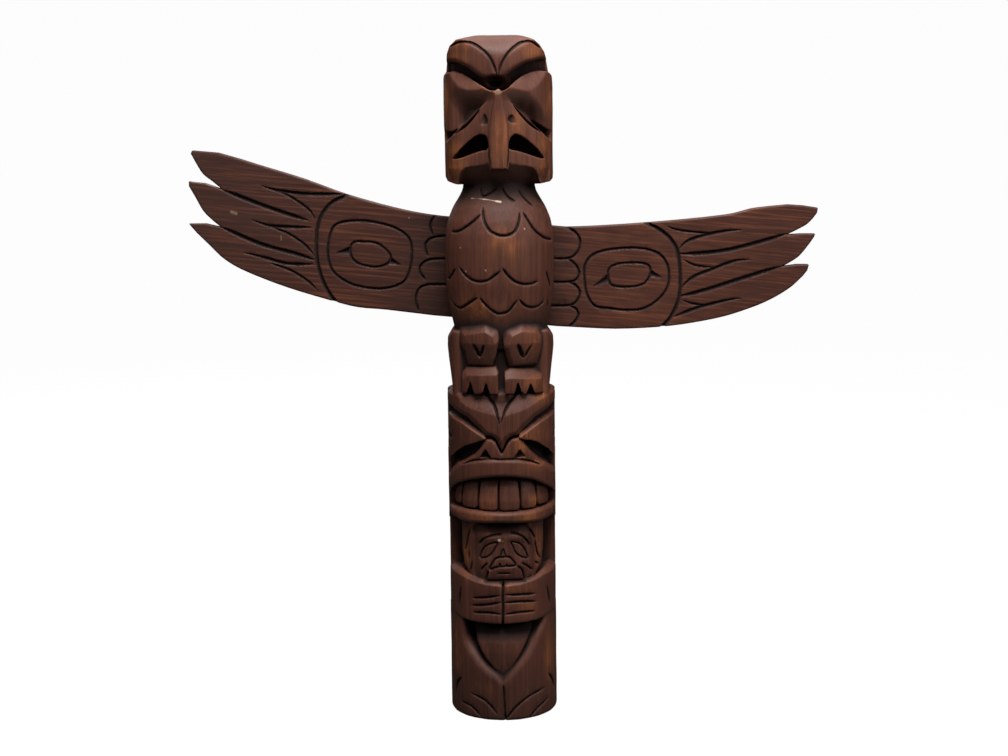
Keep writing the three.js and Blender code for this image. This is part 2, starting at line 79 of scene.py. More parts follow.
# Radii that the carver works down to.
TOOTH = LOG - 3.0
FACE = LOG - 3.2  # the small figure's face
SOCKET = LOG - 7.5  # floor of the eye sockets
CORE = LOG - 9.0  # plain core left under the arms and the legs
SMALL_CORE = LOG - 12.5  # core behind the small head
print(f"log {2 * LOG:.1f} mm across and {HEIGHT:.0f} mm tall, planed {BACK:.0f} mm behind its axis")

# %% [markdown]
# ## Camera
# The pole is looked at from a little below the crown, through a long lens that points slightly down.
# A long lens keeps the log's sides nearly parallel. A tiny roll lets the pole lean by half a degree.

# %% Make the camera
CAMERA_PLACE = Vector((0.0019, -1.1353, 0.3917))
CAMERA_DOWN = math.radians(8.8)
CAMERA_ROLL = math.radians(0.6)


def make_camera():
    data = bpy.data.cameras.new("camera")
    data.sensor_width = 36.0
    data.lens = 64.3
    camera = bpy.data.objects.new("camera", data)
    turn = Matrix.Rotation(math.pi / 2 - CAMERA_DOWN, 4, "X") @ Matrix.Rotation(-CAMERA_ROLL, 4, "Z")
    camera.matrix_world = Matrix.Translation(CAMERA_PLACE) @ turn
    bpy.context.scene.collection.objects.link(camera)
    bpy.context.scene.camera = camera
    return camera


camera = make_camera()
print("camera at", [round(v, 3) for v in camera.location])

# %% [markdown]
# ## A block of wood to sculpt
# Carving takes wood away, so the sculpture is kept as a field: for every small cell of a block it holds
# the distance to the surface, below zero inside the wood. Two fields are joined by taking the smaller
# value and cut by taking the larger one. A soft larger or smaller value rounds the edge between them,
# as sanding and handling round a real one. This gives one closed skin however many cuts cross.

# %% Set up the block of cells
CELL = 0.45
MARGIN = 2.0
across = np.arange(-LOG - MARGIN, LOG + MARGIN, CELL, dtype=np.float32)
through = np.arange(-LOG - MARGIN, BACK + MARGIN, CELL, dtype=np.float32)
upward = np.arange(-MARGIN, HEIGHT + MARGIN, CELL, dtype=np.float32)
X, Y = across[:, None, None], through[None, :, None]  # the same axes, laid out over the block
from_axis = np.hypot(X, Y)
around = LOG * np.arctan2(across[:, None], -through[None, :])
wood = np.full((len(across), len(through), len(upward)), MARGIN, np.float32)
print("block of", wood.shape, "cells")

# %% Helpers that draw and join fields


def soft_max(a, b, rounding):
    """The larger of two fields, with the edge between them rounded over this many millimetres."""
    share = np.clip(0.5 + 0.5 * (a - b) / rounding, 0, 1)
    return b + (a - b) * share + rounding * share * (1 - share)


def soft_min(a, b, rounding):
    return -soft_max(-a, -b, rounding)


def polygon_distance(points, u, v):
    """Signed distance from a closed outline, below zero inside it."""
    points = np.asarray(points, np.float32)
    nearest = np.full(np.broadcast(u, v).shape, 1e9, np.float32)
    inside = np.zeros(nearest.shape, bool)
    for a, b in zip(points, np.roll(points, -1, axis=0)):
        run, rise = b - a
        share = np.clip(((u - a[0]) * run + (v - a[1]) * rise) / (run * run + rise * rise), 0, 1)
        gap = (u - a[0] - share * run) ** 2 + (v - a[1] - share * rise) ** 2
        nearest = np.minimum(nearest, gap)
        if rise != 0:
            crosses = (a[1] > v) != (b[1] > v)
            inside ^= crosses & (u < a[0] + (v - a[1]) * run / rise)
    return np.where(inside, -1, 1).astype(np.float32) * np.sqrt(nearest)


def both_sides(half):
    """A whole outline from its right half, drawn from the middle line outwards."""
    return list(half) + [(-x, z) for x, z in reversed(half) if x > 0]


def smooth_path(points, closed=False, steps=6):
    """A curve through given points."""
    p = np.asarray(points, float)
    if closed:
        p = np.vstack([p[-1], p, p[0], p[1]])
    else:
        p = np.vstack([2 * p[0] - p[1], p, 2 * p[-1] - p[-2]])
    t = np.linspace(0, 1, steps, endpoint=False)[:, None]
    parts = [
        0.5 * (2 * b + (c - a) * t + (2 * a - 5 * b + 4 * c - d) * t**2 + (3 * b - a - 3 * c + d) * t**3)
        for a, b, c, d in zip(p, p[1:], p[2:], p[3:])
    ]
    return np.vstack(parts if closed else parts + [p[-2:-1]])


def closed_curve(points, steps=4):
    return smooth_path(points, closed=True, steps=steps)


def mound(u, half_width, v, half_height):
    """A soft rise: 1 in its middle, fading out over these half sizes."""
    return np.exp(-((u / half_width) ** 2) - (v / half_height) ** 2)


def span(low, high):
    """The layers of cells between two heights."""
    layers = slice(*np.searchsorted(upward, [low, high]))
    return layers, upward[layers]


def front(points, z):
    """An outline seen from the front, sawn straight through the block."""
    return polygon_distance(points, across[:, None], z[None, :])[:, None, :]


def side(points, z):
    """An outline seen from the side."""
    return polygon_distance(points, through[:, None], z[None, :])[None, :, :]


def plain_back(start):
    """The uncarved log behind a plane this far behind its axis."""
    return np.maximum(from_axis - LOG, start - Y)


def lay(field, layers):
    """Adds a carved form to the block."""
    wood[:, :, layers] = np.minimum(wood[:, :, layers], field)


def dig(form, layers, rounding):
    """Takes a form out of the block."""
    wood[:, :, layers] = soft_max(wood[:, :, layers], -form, rounding)


# %% [markdown]
# ## Thighs, belly and foot
# At the bottom the log is left nearly whole. The bear's thighs are two smooth swellings that close around
# a shield-shaped belly. The hollow between them is a wide cove made with a gouge, so the thigh side of it
# slopes while the belly's edge stays crisp.

# %% Carve the foot of the log


def carve_thighs():
    layers, z = span(-MARGIN, HANDS + 7)
    cove_edge = closed_curve(
        [(-0.6, 22.6), (3.8, 26), (11, 33), (19, 43), (24, 53), (29, 64), (30, 76), (-29, 76), (-28.4, 60),
         (-26.6, 48), (-21.4, 39.7), (-14.2, 31.7), (-3.8, 24.8)])
    inside = np.clip(-front(cove_edge, z), 0, 12)
    cove = 0.12 * inside + 0.10 * inside**2
    thighs = from_axis - LOG + np.minimum(cove, 11.0) + np.clip((z - 34) / 30, 0, 1) * 0.7

    shield = closed_curve(
        [(-0.6, 25.6), (0.8, 28), (4.4, 33.4), (11, 43.6), (15.6, 52.4), (17.8, 59.4), (17.8, 76),
         (-17.4, 76), (-17.4, 57), (-16.4, 49.4), (-12.3, 41.4), (-7.9, 35.6), (-3.5, 29.8)])
    swell = LOG - np.interp(z, [24, 34, 44, 50, 54, 57.5, 60, 62.5, 66],
                            [3.6, 2.6, 2.2, 2.7, 3.8, 6, 9, 13.5, 17])
    belly = soft_max(front(shield, z), from_axis - swell.astype(np.float32), 1.4)
    lay(soft_min(thighs, belly, 0.4), layers)
    lay(plain_back(0), layers)


carve_thighs()
print("foot carved to", HANDS, "mm")

# %% [markdown]
# ## The small figure and the bear's arms
# A small head with a mask-like face looks out between the bear's arms. The arms come round from both
# sides of the log and the hands meet in front. The head is set back so that the lip above and the hands
# below both overhang it.

# %% Carve the arms and the small head


def carve_arms():
    layers, z = span(HANDS - 4, ARMS_TOP + 3)
    outline = [
        (0, HANDS), (22, 64.1), (29, 65.8), (46, 67.2), (46, 99), (36, 97.5), (30.5, 97), (25, 95),
        (20.5, 92.6), (15.5, 91.2), (8, 90.2), (3.2, 89.8), (0, 88.4), (-3, 89.8), (-9, 90.4), (-15, 91.8),
        (-20, 93.6), (-26, 95.6), (-31, 96.4), (-36, 96.8), (-46, 98), (-46, 67.6), (-32, 66.4),
        (-28.6, 64.9), (-21.4, 63.9),
    ]
    shape = soft_max(front(outline, z), from_axis - LOG, 1.6)
    # Above a level ridge the top of each arm slopes back towards the small head.
    ridge = np.interp(np.abs(X), [0, 10, 19, 27, 32], [88.0, 88.5, 90.2, 92.6, 93.4])
    slope = 1.15 * np.clip(z - ridge, 0, None)
    arms = soft_max(shape, from_axis - (LOG - slope.astype(np.float32)), 0.8)
    lay(arms, layers)
    lay(np.maximum(from_axis - CORE, HANDS + 3 - z), layers)


def carve_small_head():
    layers, z = span(86, LIP + 2)
    outline = both_sides([(0, 86), (15, 87), (20.2, 92.4), (24.4, 99), (25.6, 108), (26, 134), (0, 134)])
    profile = [(0, 84), (-29.5, 86), (-31.2, 96), (-FACE, 106), (-30.8, 118), (-27.5, 126), (-23, 134),
               (0, 134)]
    head = soft_max(front(outline, z), from_axis - FACE, 2.2)
    head = soft_max(head, side(profile, z), 1.5)
    # The face lies a little below the two falls of hair beside it.
    panel = closed_curve([(0, 84), (17.6, 90), (19.4, 104), (18.4, 116), (14.8, 128), (0, 131), (-17, 128),
                          (-18.6, 116), (-18.8, 104), (-17, 90)], steps=6)
    head = head + np.clip(-front(panel, z), 0, 1.3)
    # Nose, muzzle, cheeks and brows swell a little.
    flip = np.abs(X)
    for height, u, half_width, middle, half_height in (
            (1.1, X - 0.2, 2.0, 108.5, 4.0), (1.3, X - 0.6, 7.5, 100, 6.5),
            (0.7, flip - 12, 5.0, 101, 5.0), (0.8, flip - 9, 7.0, 118.5, 2.6)):
        head = head - height * mound(u, half_width, z - middle, half_height)
    lay(head, layers)
    lay(np.minimum(from_axis - SMALL_CORE, soft_max(plain_back(1), from_axis - LOG, 1.0)), layers)


carve_arms()
carve_small_head()
print("arms and small head carved")

# %% [markdown]
# ## The bear's head
# From the front the bear is a stack of strong shapes: a wide V of brow, two wedge-shaped eyes, a snout
# that flares into the cheeks, and a mouth full of big teeth between two band-like lips. Each shape is an
# outline raised to its own depth, which is how a carver sets levels before shaping the facets.

# %% Carve the mouth


def bevelled(points, level, z, bevel, rounding=0.7):
    """A front outline, left standing to a level, with its edge pared off at half a right angle."""
    edge, face = front(points, z), from_axis - level
    pared = soft_max(edge, face, rounding)
    return soft_max(pared, (edge + face + bevel) * 0.7071, rounding)


def raised(points, level, z, rounding=1.0):
    """A front outline, left standing to a level and rounded at its edge."""
    return soft_max(front(points, z), from_axis - level, rounding)


TOOTH_EDGES = [-46.0, -34.2, -17.9, -2.7, 13.4, 27.5, 44.0]  # arc lengths round the log, in mm


def carve_mouth():
    layers, z = span(LIP - 3, 172)
    upper = smooth_path([(-46, 140), (-33.8, 142.6), (-31.4, 147.4), (-27.4, 151.8), (-21, 155),
                         (-11, 157.6), (-1, 158.6), (10, 157.6), (19, 155.2), (26, 151), (31, 146.4),
                         (34, 142), (46, 140)], steps=4)
    top = [(46, 157), (34.4, 157.6), (31, 160.5), (27, 164.6), (22, 166.8), (12, 168.7), (0, 169.6),
           (-15, 168.8), (-24, 166.6), (-27.4, 164.8), (-30.4, 160.8), (-33.4, 156), (-46, 154)]
    lip_above = bevelled([*upper, *top], LOG, z, 1.4)

    lower = smooth_path([(-46, 129.4), (-31, 129), (-25.7, 127.9), (-12, 128.4), (0, 128.8), (16, 128),
                         (25, 127.8), (32, 128.8), (46, 130.4)], steps=4)
    rim = smooth_path([(46, 139), (33, 137), (24, 136), (13, 135.6), (0, 135.4), (-14.6, 135.8),
                       (-25, 135.8), (-31, 135.4), (-46, 135.4)], steps=4)
    lip_below = bevelled([*lower, *rim], LOG, z, 1.6)

    set_back = TOOTH - np.interp(z, [131, 137, 142, 149, 154, 160], [2.4, 0, -0.2, 1.0, 2.6, 6.0])
    mouth = front([(-46, 131), (46, 131), (46, 154), (26, 160), (-26, 160), (-46, 152)], z)
    gum = np.maximum(mouth, from_axis - (TOOTH - 4.5))
    # Six teeth stand side by side, each rounded at its foot.
    arc = around[:, :, None]
    teeth = gum
    for left, right in zip(TOOTH_EDGES, TOOTH_EDGES[1:]):
        middle, half = (left + right) / 2, (right - left) / 2 - 0.75
        foot = 136.3 + 0.0012 * middle**2
        width = np.abs(arc - middle) - half
        below = foot - z
        corner = np.hypot(np.clip(width + 2.2, 0, None), np.clip(below + 2.2, 0, None)) - 2.2
        tooth = np.maximum(corner, np.minimum(np.maximum(width, below), 0))
        bulge = from_axis - set_back.astype(np.float32) + 0.012 * (arc - middle) ** 2
        teeth = np.minimum(teeth, soft_max(np.maximum(tooth, mouth), bulge, 0.9))
    lay(np.minimum(np.minimum(lip_above, lip_below), teeth), layers)
    lay(soft_min(plain_back(-1), from_axis - (SOCKET - 2), 2.0), layers)


carve_mouth()
print("mouth carved")

# %% Carve the brow, eyes and snout


def carve_bear_face():
    layers, z = span(160, BEAR_TOP + 3)
    flip = np.abs(X)

    brow = both_sides([
        (0.2, 174.6), (1.8, 177.8), (3.2, 181.6), (6, 183.6), (10.4, 184.6), (13.2, 188), (21.4, 195),
        (32, 199.4), (46, 201), (46, BEAR_TOP + 0.6), (7, BEAR_TOP + 1.4), (4.6, 216), (0, 216)])
    profile = [(0, 216.4), (-24.6, 216.4), (-29, BEAR_TOP + 1.4), (-LOG - 0.4, 205), (-LOG - 0.4, 160),
               (0, 160)]
    # Above a slanting ridge the brow is a facet that leans back towards the claws.
    ridge = [(30.4, 218), (29.8, 207.4), (22.7, 204.8), (16.4, 201.2), (10.1, 199.1), (0, 196.4),
             (-5.7, 198), (-15.1, 200.1), (-21.4, 202), (-25.6, 205), (-27.2, 209), (-28, 218)]
    lean = 0.5 * np.clip(-front(ridge, z), 0, 8)
    brow_body = soft_max(bevelled(brow, LOG - lean, z, 2.6), side(profile, z), 0.8)

    left_eye = [(-9.6, 182.6), (-12, 188), (-20, 194.6), (-31, 199.4), (-46, 202), (-46, 163),
                (-32.4, 166.4), (-28.5, 172.1), (-23.8, 176.4), (-17.5, 179.2)]
    right_eye = [(10.6, 183.2), (12, 188), (20, 194.6), (31, 199.4), (46, 202), (46, 163), (33.7, 165.5),
                 (29.8, 172.5), (22.7, 178.8), (18, 180.9), (13.2, 181.7)]
    # A sharp ridge runs along the top of each eye; above it the wood slopes back under the brow.
    rim = np.interp(flip, [10, 17.5, 24.6, 32.4], [182.4, 187, 191.2, 194])
    droop = 0.03 * np.clip(rim - z, 0, 20) + 1.2 * np.clip(z - rim, 0, 8)
    level = (LOG - 0.3 - droop).astype(np.float32)
    eyes = np.minimum(raised(left_eye, level, z, 0.7), raised(right_eye, level, z, 0.7))

    snout = [(0, 173.6), (1.6, 176), (3.4, 180), (6.4, 182.4), (10.8, 182.9), (12.6, 181.4), (15, 177.6),
             (18, 173.6), (21.4, 169.8), (28, 163.6), (28.5, 158), (-28.5, 158), (-28.5, 163.6),
             (-20.6, 169.2), (-17, 171.8), (-13.5, 175.8), (-11.4, 179.8), (-9.6, 182.2), (-6.4, 182.2),
             (-3.4, 180), (-1.6, 176)]
    fall = np.clip((flip - 9) * 0.10, 0, 2.2) + np.clip((z - 176) * 0.05, 0, 1)
    muzzle = bevelled(snout, (LOG - 1.0 - fall).astype(np.float32), z, 1.0)

    face = np.minimum(np.minimum(brow_body, eyes), muzzle)
    behind = np.maximum(plain_back(1), z - BEAR_TOP)
    cheek = np.maximum(from_axis - SOCKET, z - BEAR_TOP)
    lay(soft_min(np.minimum(face, behind), cheek, 0.8), layers)


carve_bear_face()
print("bear's face carved")

# %% [markdown]
# ## The eagle's legs
# The eagle crouches on the bear's head. Each leg is a block with its corners pared off, and each foot a
# smaller block in front of it. At the sides, set further back, the tail and thighs fill the log's width.

# %% Carve legs, feet and haunches


def carve_legs():
    layers, z = span(BEAR_TOP - 6, KNEES + 3)
    # Each block is an outline with a smaller front face; from the face's edge it is pared back all round.
    left_leg = [(-26, 253.5), (-23.1, 257), (-8.5, 258.6), (-1.6, 252), (-0.9, 245.4), (-2.4, 236.9),
                (-5, 228), (-21.3, 227), (-23, 234.1), (-26.2, 239.2)]
    left_leg_face = [(-22.3, 247.1), (-9.7, 249.6), (-5, 246.9), (-3.4, 243), (-4.6, 234), (-7, 229),
                     (-20, 229), (-21, 237), (-23, 241)]
    right_leg = [(0.7, 251), (6.1, 258), (10.4, 258.8), (26.1, 257.6), (28.7, 251.5), (28.7, 242.6),
                 (25.6, 233.7), (24, 227), (5.2, 227.4), (2, 239.2)]
    right_leg_face = [(7.2, 246.9), (13.5, 249.6), (21.4, 248.4), (23.8, 244.9), (24.6, 237), (22.6, 229),
                      (7.6, 229), (5, 240)]
    left_foot = [(-24.2, 222.9), (-21.1, 226.6), (-3, 227.6), (-1.6, 224.4), (-1.8, BEAR_TOP + 1),
                 (-24.6, BEAR_TOP + 0.4)]
    left_foot_face = [(-23.6, 219.9), (-21.1, 222.1), (-3, 223), (-2, 206), (-26, 206)]
    right_foot = [(2.3, 224.4), (5.7, 226.4), (25.4, 224.8), (26.3, BEAR_TOP), (2.6, BEAR_TOP + 1)]
    right_foot_face = [(2.9, 220.4), (7.2, 220.7), (25, 219.1), (26.6, 206), (2.6, 206)]
    leg_level = np.interp(z, [225, 233, 242, 260], [LOG - 5.4, LOG - 2.4, LOG, LOG]).astype(np.float32)
    foot_level = np.interp(z, [206, 214, 222, 228], [LOG - 0.8, LOG - 0.2, LOG, LOG]).astype(np.float32)
    shapes = []
    for outline, face, level in (
            (left_leg, left_leg_face, leg_level), (right_leg, right_leg_face, leg_level),
            (left_foot, left_foot_face, foot_level), (right_foot, right_foot_face, foot_level)):
        pared = 0.95 * np.clip(front(face, z), 0, 8)
        shapes.append(soft_max(front(outline, z), from_axis - (level - pared), 0.7))
    haunch = both_sides([(0, BEAR_TOP - 3), (30, BEAR_TOP - 3), (30.6, 214), (33.6, 238), (33.4, 243.4),
                         (29.6, 248.6), (0, 252)])
    haunches = soft_max(soft_max(front(haunch, z), from_axis - LOG, 1.2), -Y - 19, 2.0)
    lay(soft_min(soft_min(haunches, from_axis - CORE, 2.0), np.minimum.reduce(shapes), 0.3), layers)


carve_legs()
print("legs carved between", BEAR_TOP, "and", KNEES, "mm")

# %% [markdown]
# ## The eagle's breast
# The breast is the one part that is nearly turned: an egg of wood, narrow at the throat. A turned form is
# a radius that changes with height, so its field needs a single curve. The feathers come later, as cuts.

# %% Carve the breast
BREAST_HEIGHTS = [238, 246, 256, 265, 278, 290, 302, 310, 318, 325, 331, 336, 344]
BREAST_RADII = [26.5, 28.5, 30.6, 32.8, 34.0, 34.25, 34.25, 33.6, 32.0, 29.2, 25.4, 22.8, 21.6]


def carve_breast():
    layers, z = span(238, CHIN + 5)
    radius = np.interp(z, BREAST_HEIGHTS, BREAST_RADII).astype(np.float32)
    kernel = np.ones(9) / 9
    radius = np.convolve(np.pad(radius, 4, "edge"), kernel, "valid").astype(np.float32)
    # The back is left plain and full, where nobody looks.
    spine = np.maximum(np.abs(X) - 19, 4 - Y)
    lay(np.minimum(from_axis - np.minimum(radius, LOG), spine), layers)


carve_breast()
print("breast carved, throat radius", BREAST_RADII[-1], "mm")

# %% [markdown]
# ## The eagle's head
# The head is built like the bear's: brow, eyes and beak are outlines raised to their own levels. The eyes
# are blunt wedges with one facet turned up and one turned down. The beak is a low roof with a rounded
# ridge, the corners of the mouth are deep pockets, and the chin is undercut so that it overhangs the neck.

# %% Carve the eagle's head
CROWN_TOP = HEIGHT + 0.8
CROWN = [*smooth_path([(-LOG - 0.3, 408), (-33.6, 416.5), (-31.2, 422.4), (-26.8, 427), (-21, 429.6),
                       (-12, CROWN_TOP)], steps=3), (BACK + 9, CROWN_TOP), (BACK + 9, CHIN),
                       (-LOG - 0.3, CHIN)]


def head_blank(z):
    """The head's outer form: its outline from the front, its crown from the side."""
    outline = [
        (-12, CROWN_TOP + 1), (-18.8, 429.9), (-25.1, 427.8), (-29.4, 424.2), (-31.2, 419.6), (-32, 409),
        (-33.6, 406.6), (-LOG, 404), (-LOG, 376), (-33.6, 371.6), (-33.3, 344.6), (-31.8, 341.8),
        (-29, 340.6), (-22.4, CHIN), (22.3, CHIN), (27, 340), (31.8, 341), (33.7, 342.8), (34, 345.6),
        (34.1, 374), (LOG, 378), (LOG, 399), (33.4, 405.8), (31.4, 408.4), (30.2, 415.4), (28.4, 420.4),
        (25.6, 424.4), (22.2, 427.5), (17.4, 429.6), (11.5, CROWN_TOP + 1),
    ]
    return soft_max(soft_max(front(outline, z), from_axis - LOG, 1.0), side(CROWN, z), 2.4)


def carve_head():
    layers, z = span(CHIN - 2, HEIGHT + MARGIN)
    flip = np.abs(X)

    brow = smooth_path([(-46, 412.4), (-32.4, 413.7), (-29.3, 414.7), (-25.4, 414.6), (-21.4, 412.8),
                        (-17.5, 410.6), (-13.5, 407.6), (-9.6, 405.2), (-5.7, 404.4), (0, 404.4),
                        (3.8, 405.5), (6.9, 407.7), (11.7, 410.7), (16.4, 413.2), (22.7, 415),
                        (28.2, 415.6), (46, 413)], steps=3)
    # Each brow is a pillow, fullest over the eye and rolled under at its lower edge.
    pillow = mound(flip - 17, 15, z - 419, 9)
    brows = soft_max(front([*brow, (46, 440), (-46, 440)], z), from_axis - (LOG - 1 + pillow), 3.4)

    eye_outlines = (
        [(-2.6, 396.6), (-5.7, 397.4), (-11.2, 400.6), (-14.4, 402.8), (-17.5, 405), (-22.2, 407.6),
         (-26.9, 408.8), (-31.3, 408), (-46, 406.4), (-46, 373.4), (-28, 372.4), (-14, 382), (-2, 392)],
        [(3, 396.6), (6.1, 398.2), (10.1, 402), (14.8, 405.7), (20.3, 408), (25.8, 408.8), (30.6, 408),
         (46, 406.4), (46, 373.4), (31.4, 372.4), (14, 383), (1.5, 392)],
    )
    # One facet of an eye looks up; below a ridge that turns down at the side, it is hollowed to the beak.
    eye_ridges = (
        [(-46, 396.4), (-29, 396.4), (-14, 396.8), (-5.6, 396.2), (0, 396)],
        [(0, 396), (5.8, 396.6), (13, 396.2), (19.6, 393.2), (25.6, 387), (29, 380), (46, 362)],
    )
    eyes = None
    for outline, ridge, edge in zip(eye_outlines, eye_ridges, (28.6, 30.2)):
        ridge_x, ridge_z = zip(*ridge)
        below = np.interp(X, ridge_x, ridge_z) - z
        inward = edge - flip
        hollowed = np.clip(soft_max(soft_min(below * 0.8, inward * 0.95, 6.0), 0 * below, 5.0), 0, 8)
        one = raised(outline, LOG - hollowed.astype(np.float32), z, 0.8)
        turn = math.copysign(math.radians(28), outline[0][0])
        outward = (X * math.sin(turn) - Y * math.cos(turn)).astype(np.float32)
        one = soft_max(one, (outward - LOG + 0.8 + 0.5 * (z - 397.5)) * 0.9, 0.6)
        eyes = one if eyes is None else np.minimum(eyes, one)

    beak = both_sides([(0, 398.6), (2.2, 396), (6.4, 391), (20, 377.8), (33.6, 364.8), (46, 360),
                       (46, CHIN - 4), (0, CHIN - 4)])
    roof = (flip * 0.36 + (-Y - LOG + 1.2) * 0.93).astype(np.float32)
    slant = soft_max(front(beak, z), soft_max(roof, from_axis - LOG, 2.5), 0.7)
    ridge_half = np.interp(z, [349, 356, 366, 373, 384, 391, 396, 398.4],
                           [4.8, 5.5, 6.1, 5.8, 4.0, 2.6, 1.5, 0.3])
    ridge = soft_max(np.abs(X - 0.2) - ridge_half.astype(np.float32), from_axis - LOG, 2.4)
    ridge = soft_max(ridge, np.maximum(z - 398.4, 349.4 + 0.02 * X * X - z), 0.5)
    beak_body = soft_min(slant, ridge, 0.4)

    # The skull behind is a cove: deep over the beak, shallower out to the temples.
    shallower = np.interp(z, [397, 402], [0, 2.4])
    skull = from_axis - (SOCKET - 5.5 + 5 * np.clip((flip - 12) / 16, 0, 1) + shallower).astype(np.float32)
    step = np.interp(z, [384, 402], [8, -3]).astype(np.float32)
    face = np.minimum(brows, soft_min(eyes, beak_body, 2.2))
    head = np.minimum(face, np.minimum(skull, plain_back(-step)))
    head = soft_max(head, head_blank(z), 0.8)

    # Mouth pockets, nostrils and the undercut chin are dug out last.
    left_pocket = closed_curve([(-28.4, 355.6), (-24.5, 360.6), (-19, 366), (-13.6, 369.8), (-9.4, 370.8),
                                (-6.7, 368.4), (-6.5, 361.8), (-11, 360.4), (-16.4, 358.6), (-22.5, 356.4)])
    right_pocket = closed_curve([(27.8, 355.4), (24.6, 360.6), (19, 366), (13.6, 369.8), (9.8, 370.6),
                                 (6.9, 367.6), (6.4, 362), (11, 360.4), (16.4, 358.8), (22.4, 356.6)])
    pockets = np.minimum(front(left_pocket, z), front(right_pocket, z))
    head = soft_max(head, -soft_max(pockets, Y + 17, 1.0), 0.6)
    for nostril in ([(-10.8, 376.4), (-9.6, 380.4), (-8.2, 383), (-6.8, 380.4), (-6.7, 377.2)],
                    [(5.8, 379.6), (7.6, 382.4), (9.6, 380.8), (10.8, 377), (8, 377.4)]):
        bore = front(closed_curve(nostril, steps=6), z)
        head = soft_max(head, -soft_max(bore, Y + 28.6, 0.8), 0.5)
    # A deep hollow over the tip of the beak, wider than it is high.
    hole = np.sqrt(((X + 1.6) / 6.8) ** 2 + ((z - 402) / 4.2) ** 2 + ((Y + 30) / 14) ** 2) - 1
    head = soft_max(head, -hole * 4.2, 1.2)
    # The chin is undercut, and each half of the jaw is pared back from the rim of the mouth.
    under = [(-46, 352), (-LOG, 350.4), (-31.5, 346), (-27, 342), (-21.4, 338), (-21.4, 330), (-46, 330)]
    jaw = np.clip((flip - 12) / 20, 0, 1) * 4.0
    head = soft_max(head, -(side(under, z) + jaw), 1.2)
    beside_ridge = np.clip((np.abs(X - 0.2) - ridge_half - 0.3) / 0.7, 0, 1)
    below_ridge = np.clip((350 - z) / 1.2, 0, 1)
    rim = np.interp(flip, [6, 11, 17, 21.4, 26], [361, 359, 356.7, 354.3, 350])
    lower_rim = np.interp(flip, [6, 11, 16.7, 20.6, 22.6, 24, 26],
                          [354.8, 354.1, 353, 351, 348.6, 345.6, 339])
    pared = 0.25 * np.clip(rim - z, 0, 7) + 0.75 * np.clip(lower_rim - z, 0, 14)
    pared = np.minimum(pared * np.maximum(beside_ridge, below_ridge), LOG - flip - 3)
    head = soft_max(head, from_axis - (LOG - 0.4 - pared.astype(np.float32)), 0.5)
    lay(head, layers)


carve_head()
print("head carved from", CHIN, "to", HEIGHT, "mm")

# %% [markdown]
# ## Knife cuts
# Feathers, hair, fingers, toes and the lines of the faces are V-shaped cuts. They are drawn on a map of
# the log's skin unrolled flat: arc length round the log one way and height the other. The map holds how
# deep the knife went. Added to the field, it sinks each cut into whatever surface is there. A cut starts
# and ends shallow, because a knife is rocked in and out of the wood.

# %% Draw strokes on an unrolled map
MAP_STEP = 0.15
unrolled = np.arange(-math.pi * LOG, math.pi * LOG, MAP_STEP, dtype=np.float32)
log_cuts = np.zeros((len(unrolled), len(upward)), np.float32)


def stroke(cuts, u_axis, v_axis, points, width, depth, taper=3.0, closed=False):
    """One knife cut on a map, deepest along its middle line and shallow at its ends."""
    path = smooth_path(points, closed)
    if closed:
        path = np.vstack([path, path[:1]])
    reach = width / 2 + 2 * MAP_STEP
    u_cells = slice(*np.searchsorted(u_axis, [path[:, 0].min() - reach, path[:, 0].max() + reach]))
    v_cells = slice(*np.searchsorted(v_axis, [path[:, 1].min() - reach, path[:, 1].max() + reach]))
    u, v = u_axis[u_cells][:, None], v_axis[v_cells][None, :]
    runs = np.hypot(*np.diff(path, axis=0).T)
    starts = np.concatenate([[0], np.cumsum(runs)])
    nearest = np.full((u.shape[0], v.shape[1]), 1e9)
    place = np.zeros_like(nearest)
    for a, b, run, start in zip(path, path[1:], runs, starts):
        run = max(run, 1e-6)
        share = np.clip(((u - a[0]) * (b[0] - a[0]) + (v - a[1]) * (b[1] - a[1])) / run**2, 0, 1)
        gap = np.hypot(u - a[0] - share * (b[0] - a[0]), v - a[1] - share * (b[1] - a[1]))
        closer = gap < nearest
        nearest = np.where(closer, gap, nearest)
        place = np.where(closer, start + share * run, place)
    swell = 1.0
    if not closed:
        first, last = taper if isinstance(taper, tuple) else (taper, taper)
        to_end = np.minimum(place / first, (starts[-1] - place) / last)
        swell = np.sqrt(np.clip(to_end, 0.02, 1))
    groove = depth * swell * (1 - nearest / (width / 2 * swell))
    cuts[u_cells, v_cells] = np.maximum(cuts[u_cells, v_cells], np.clip(groove, 0, None))


def log_strokes(paths, width, depth, taper=3.0, closed=False):
    for path in paths:
        stroke(log_cuts, unrolled, upward, path, width, depth, taper, closed)


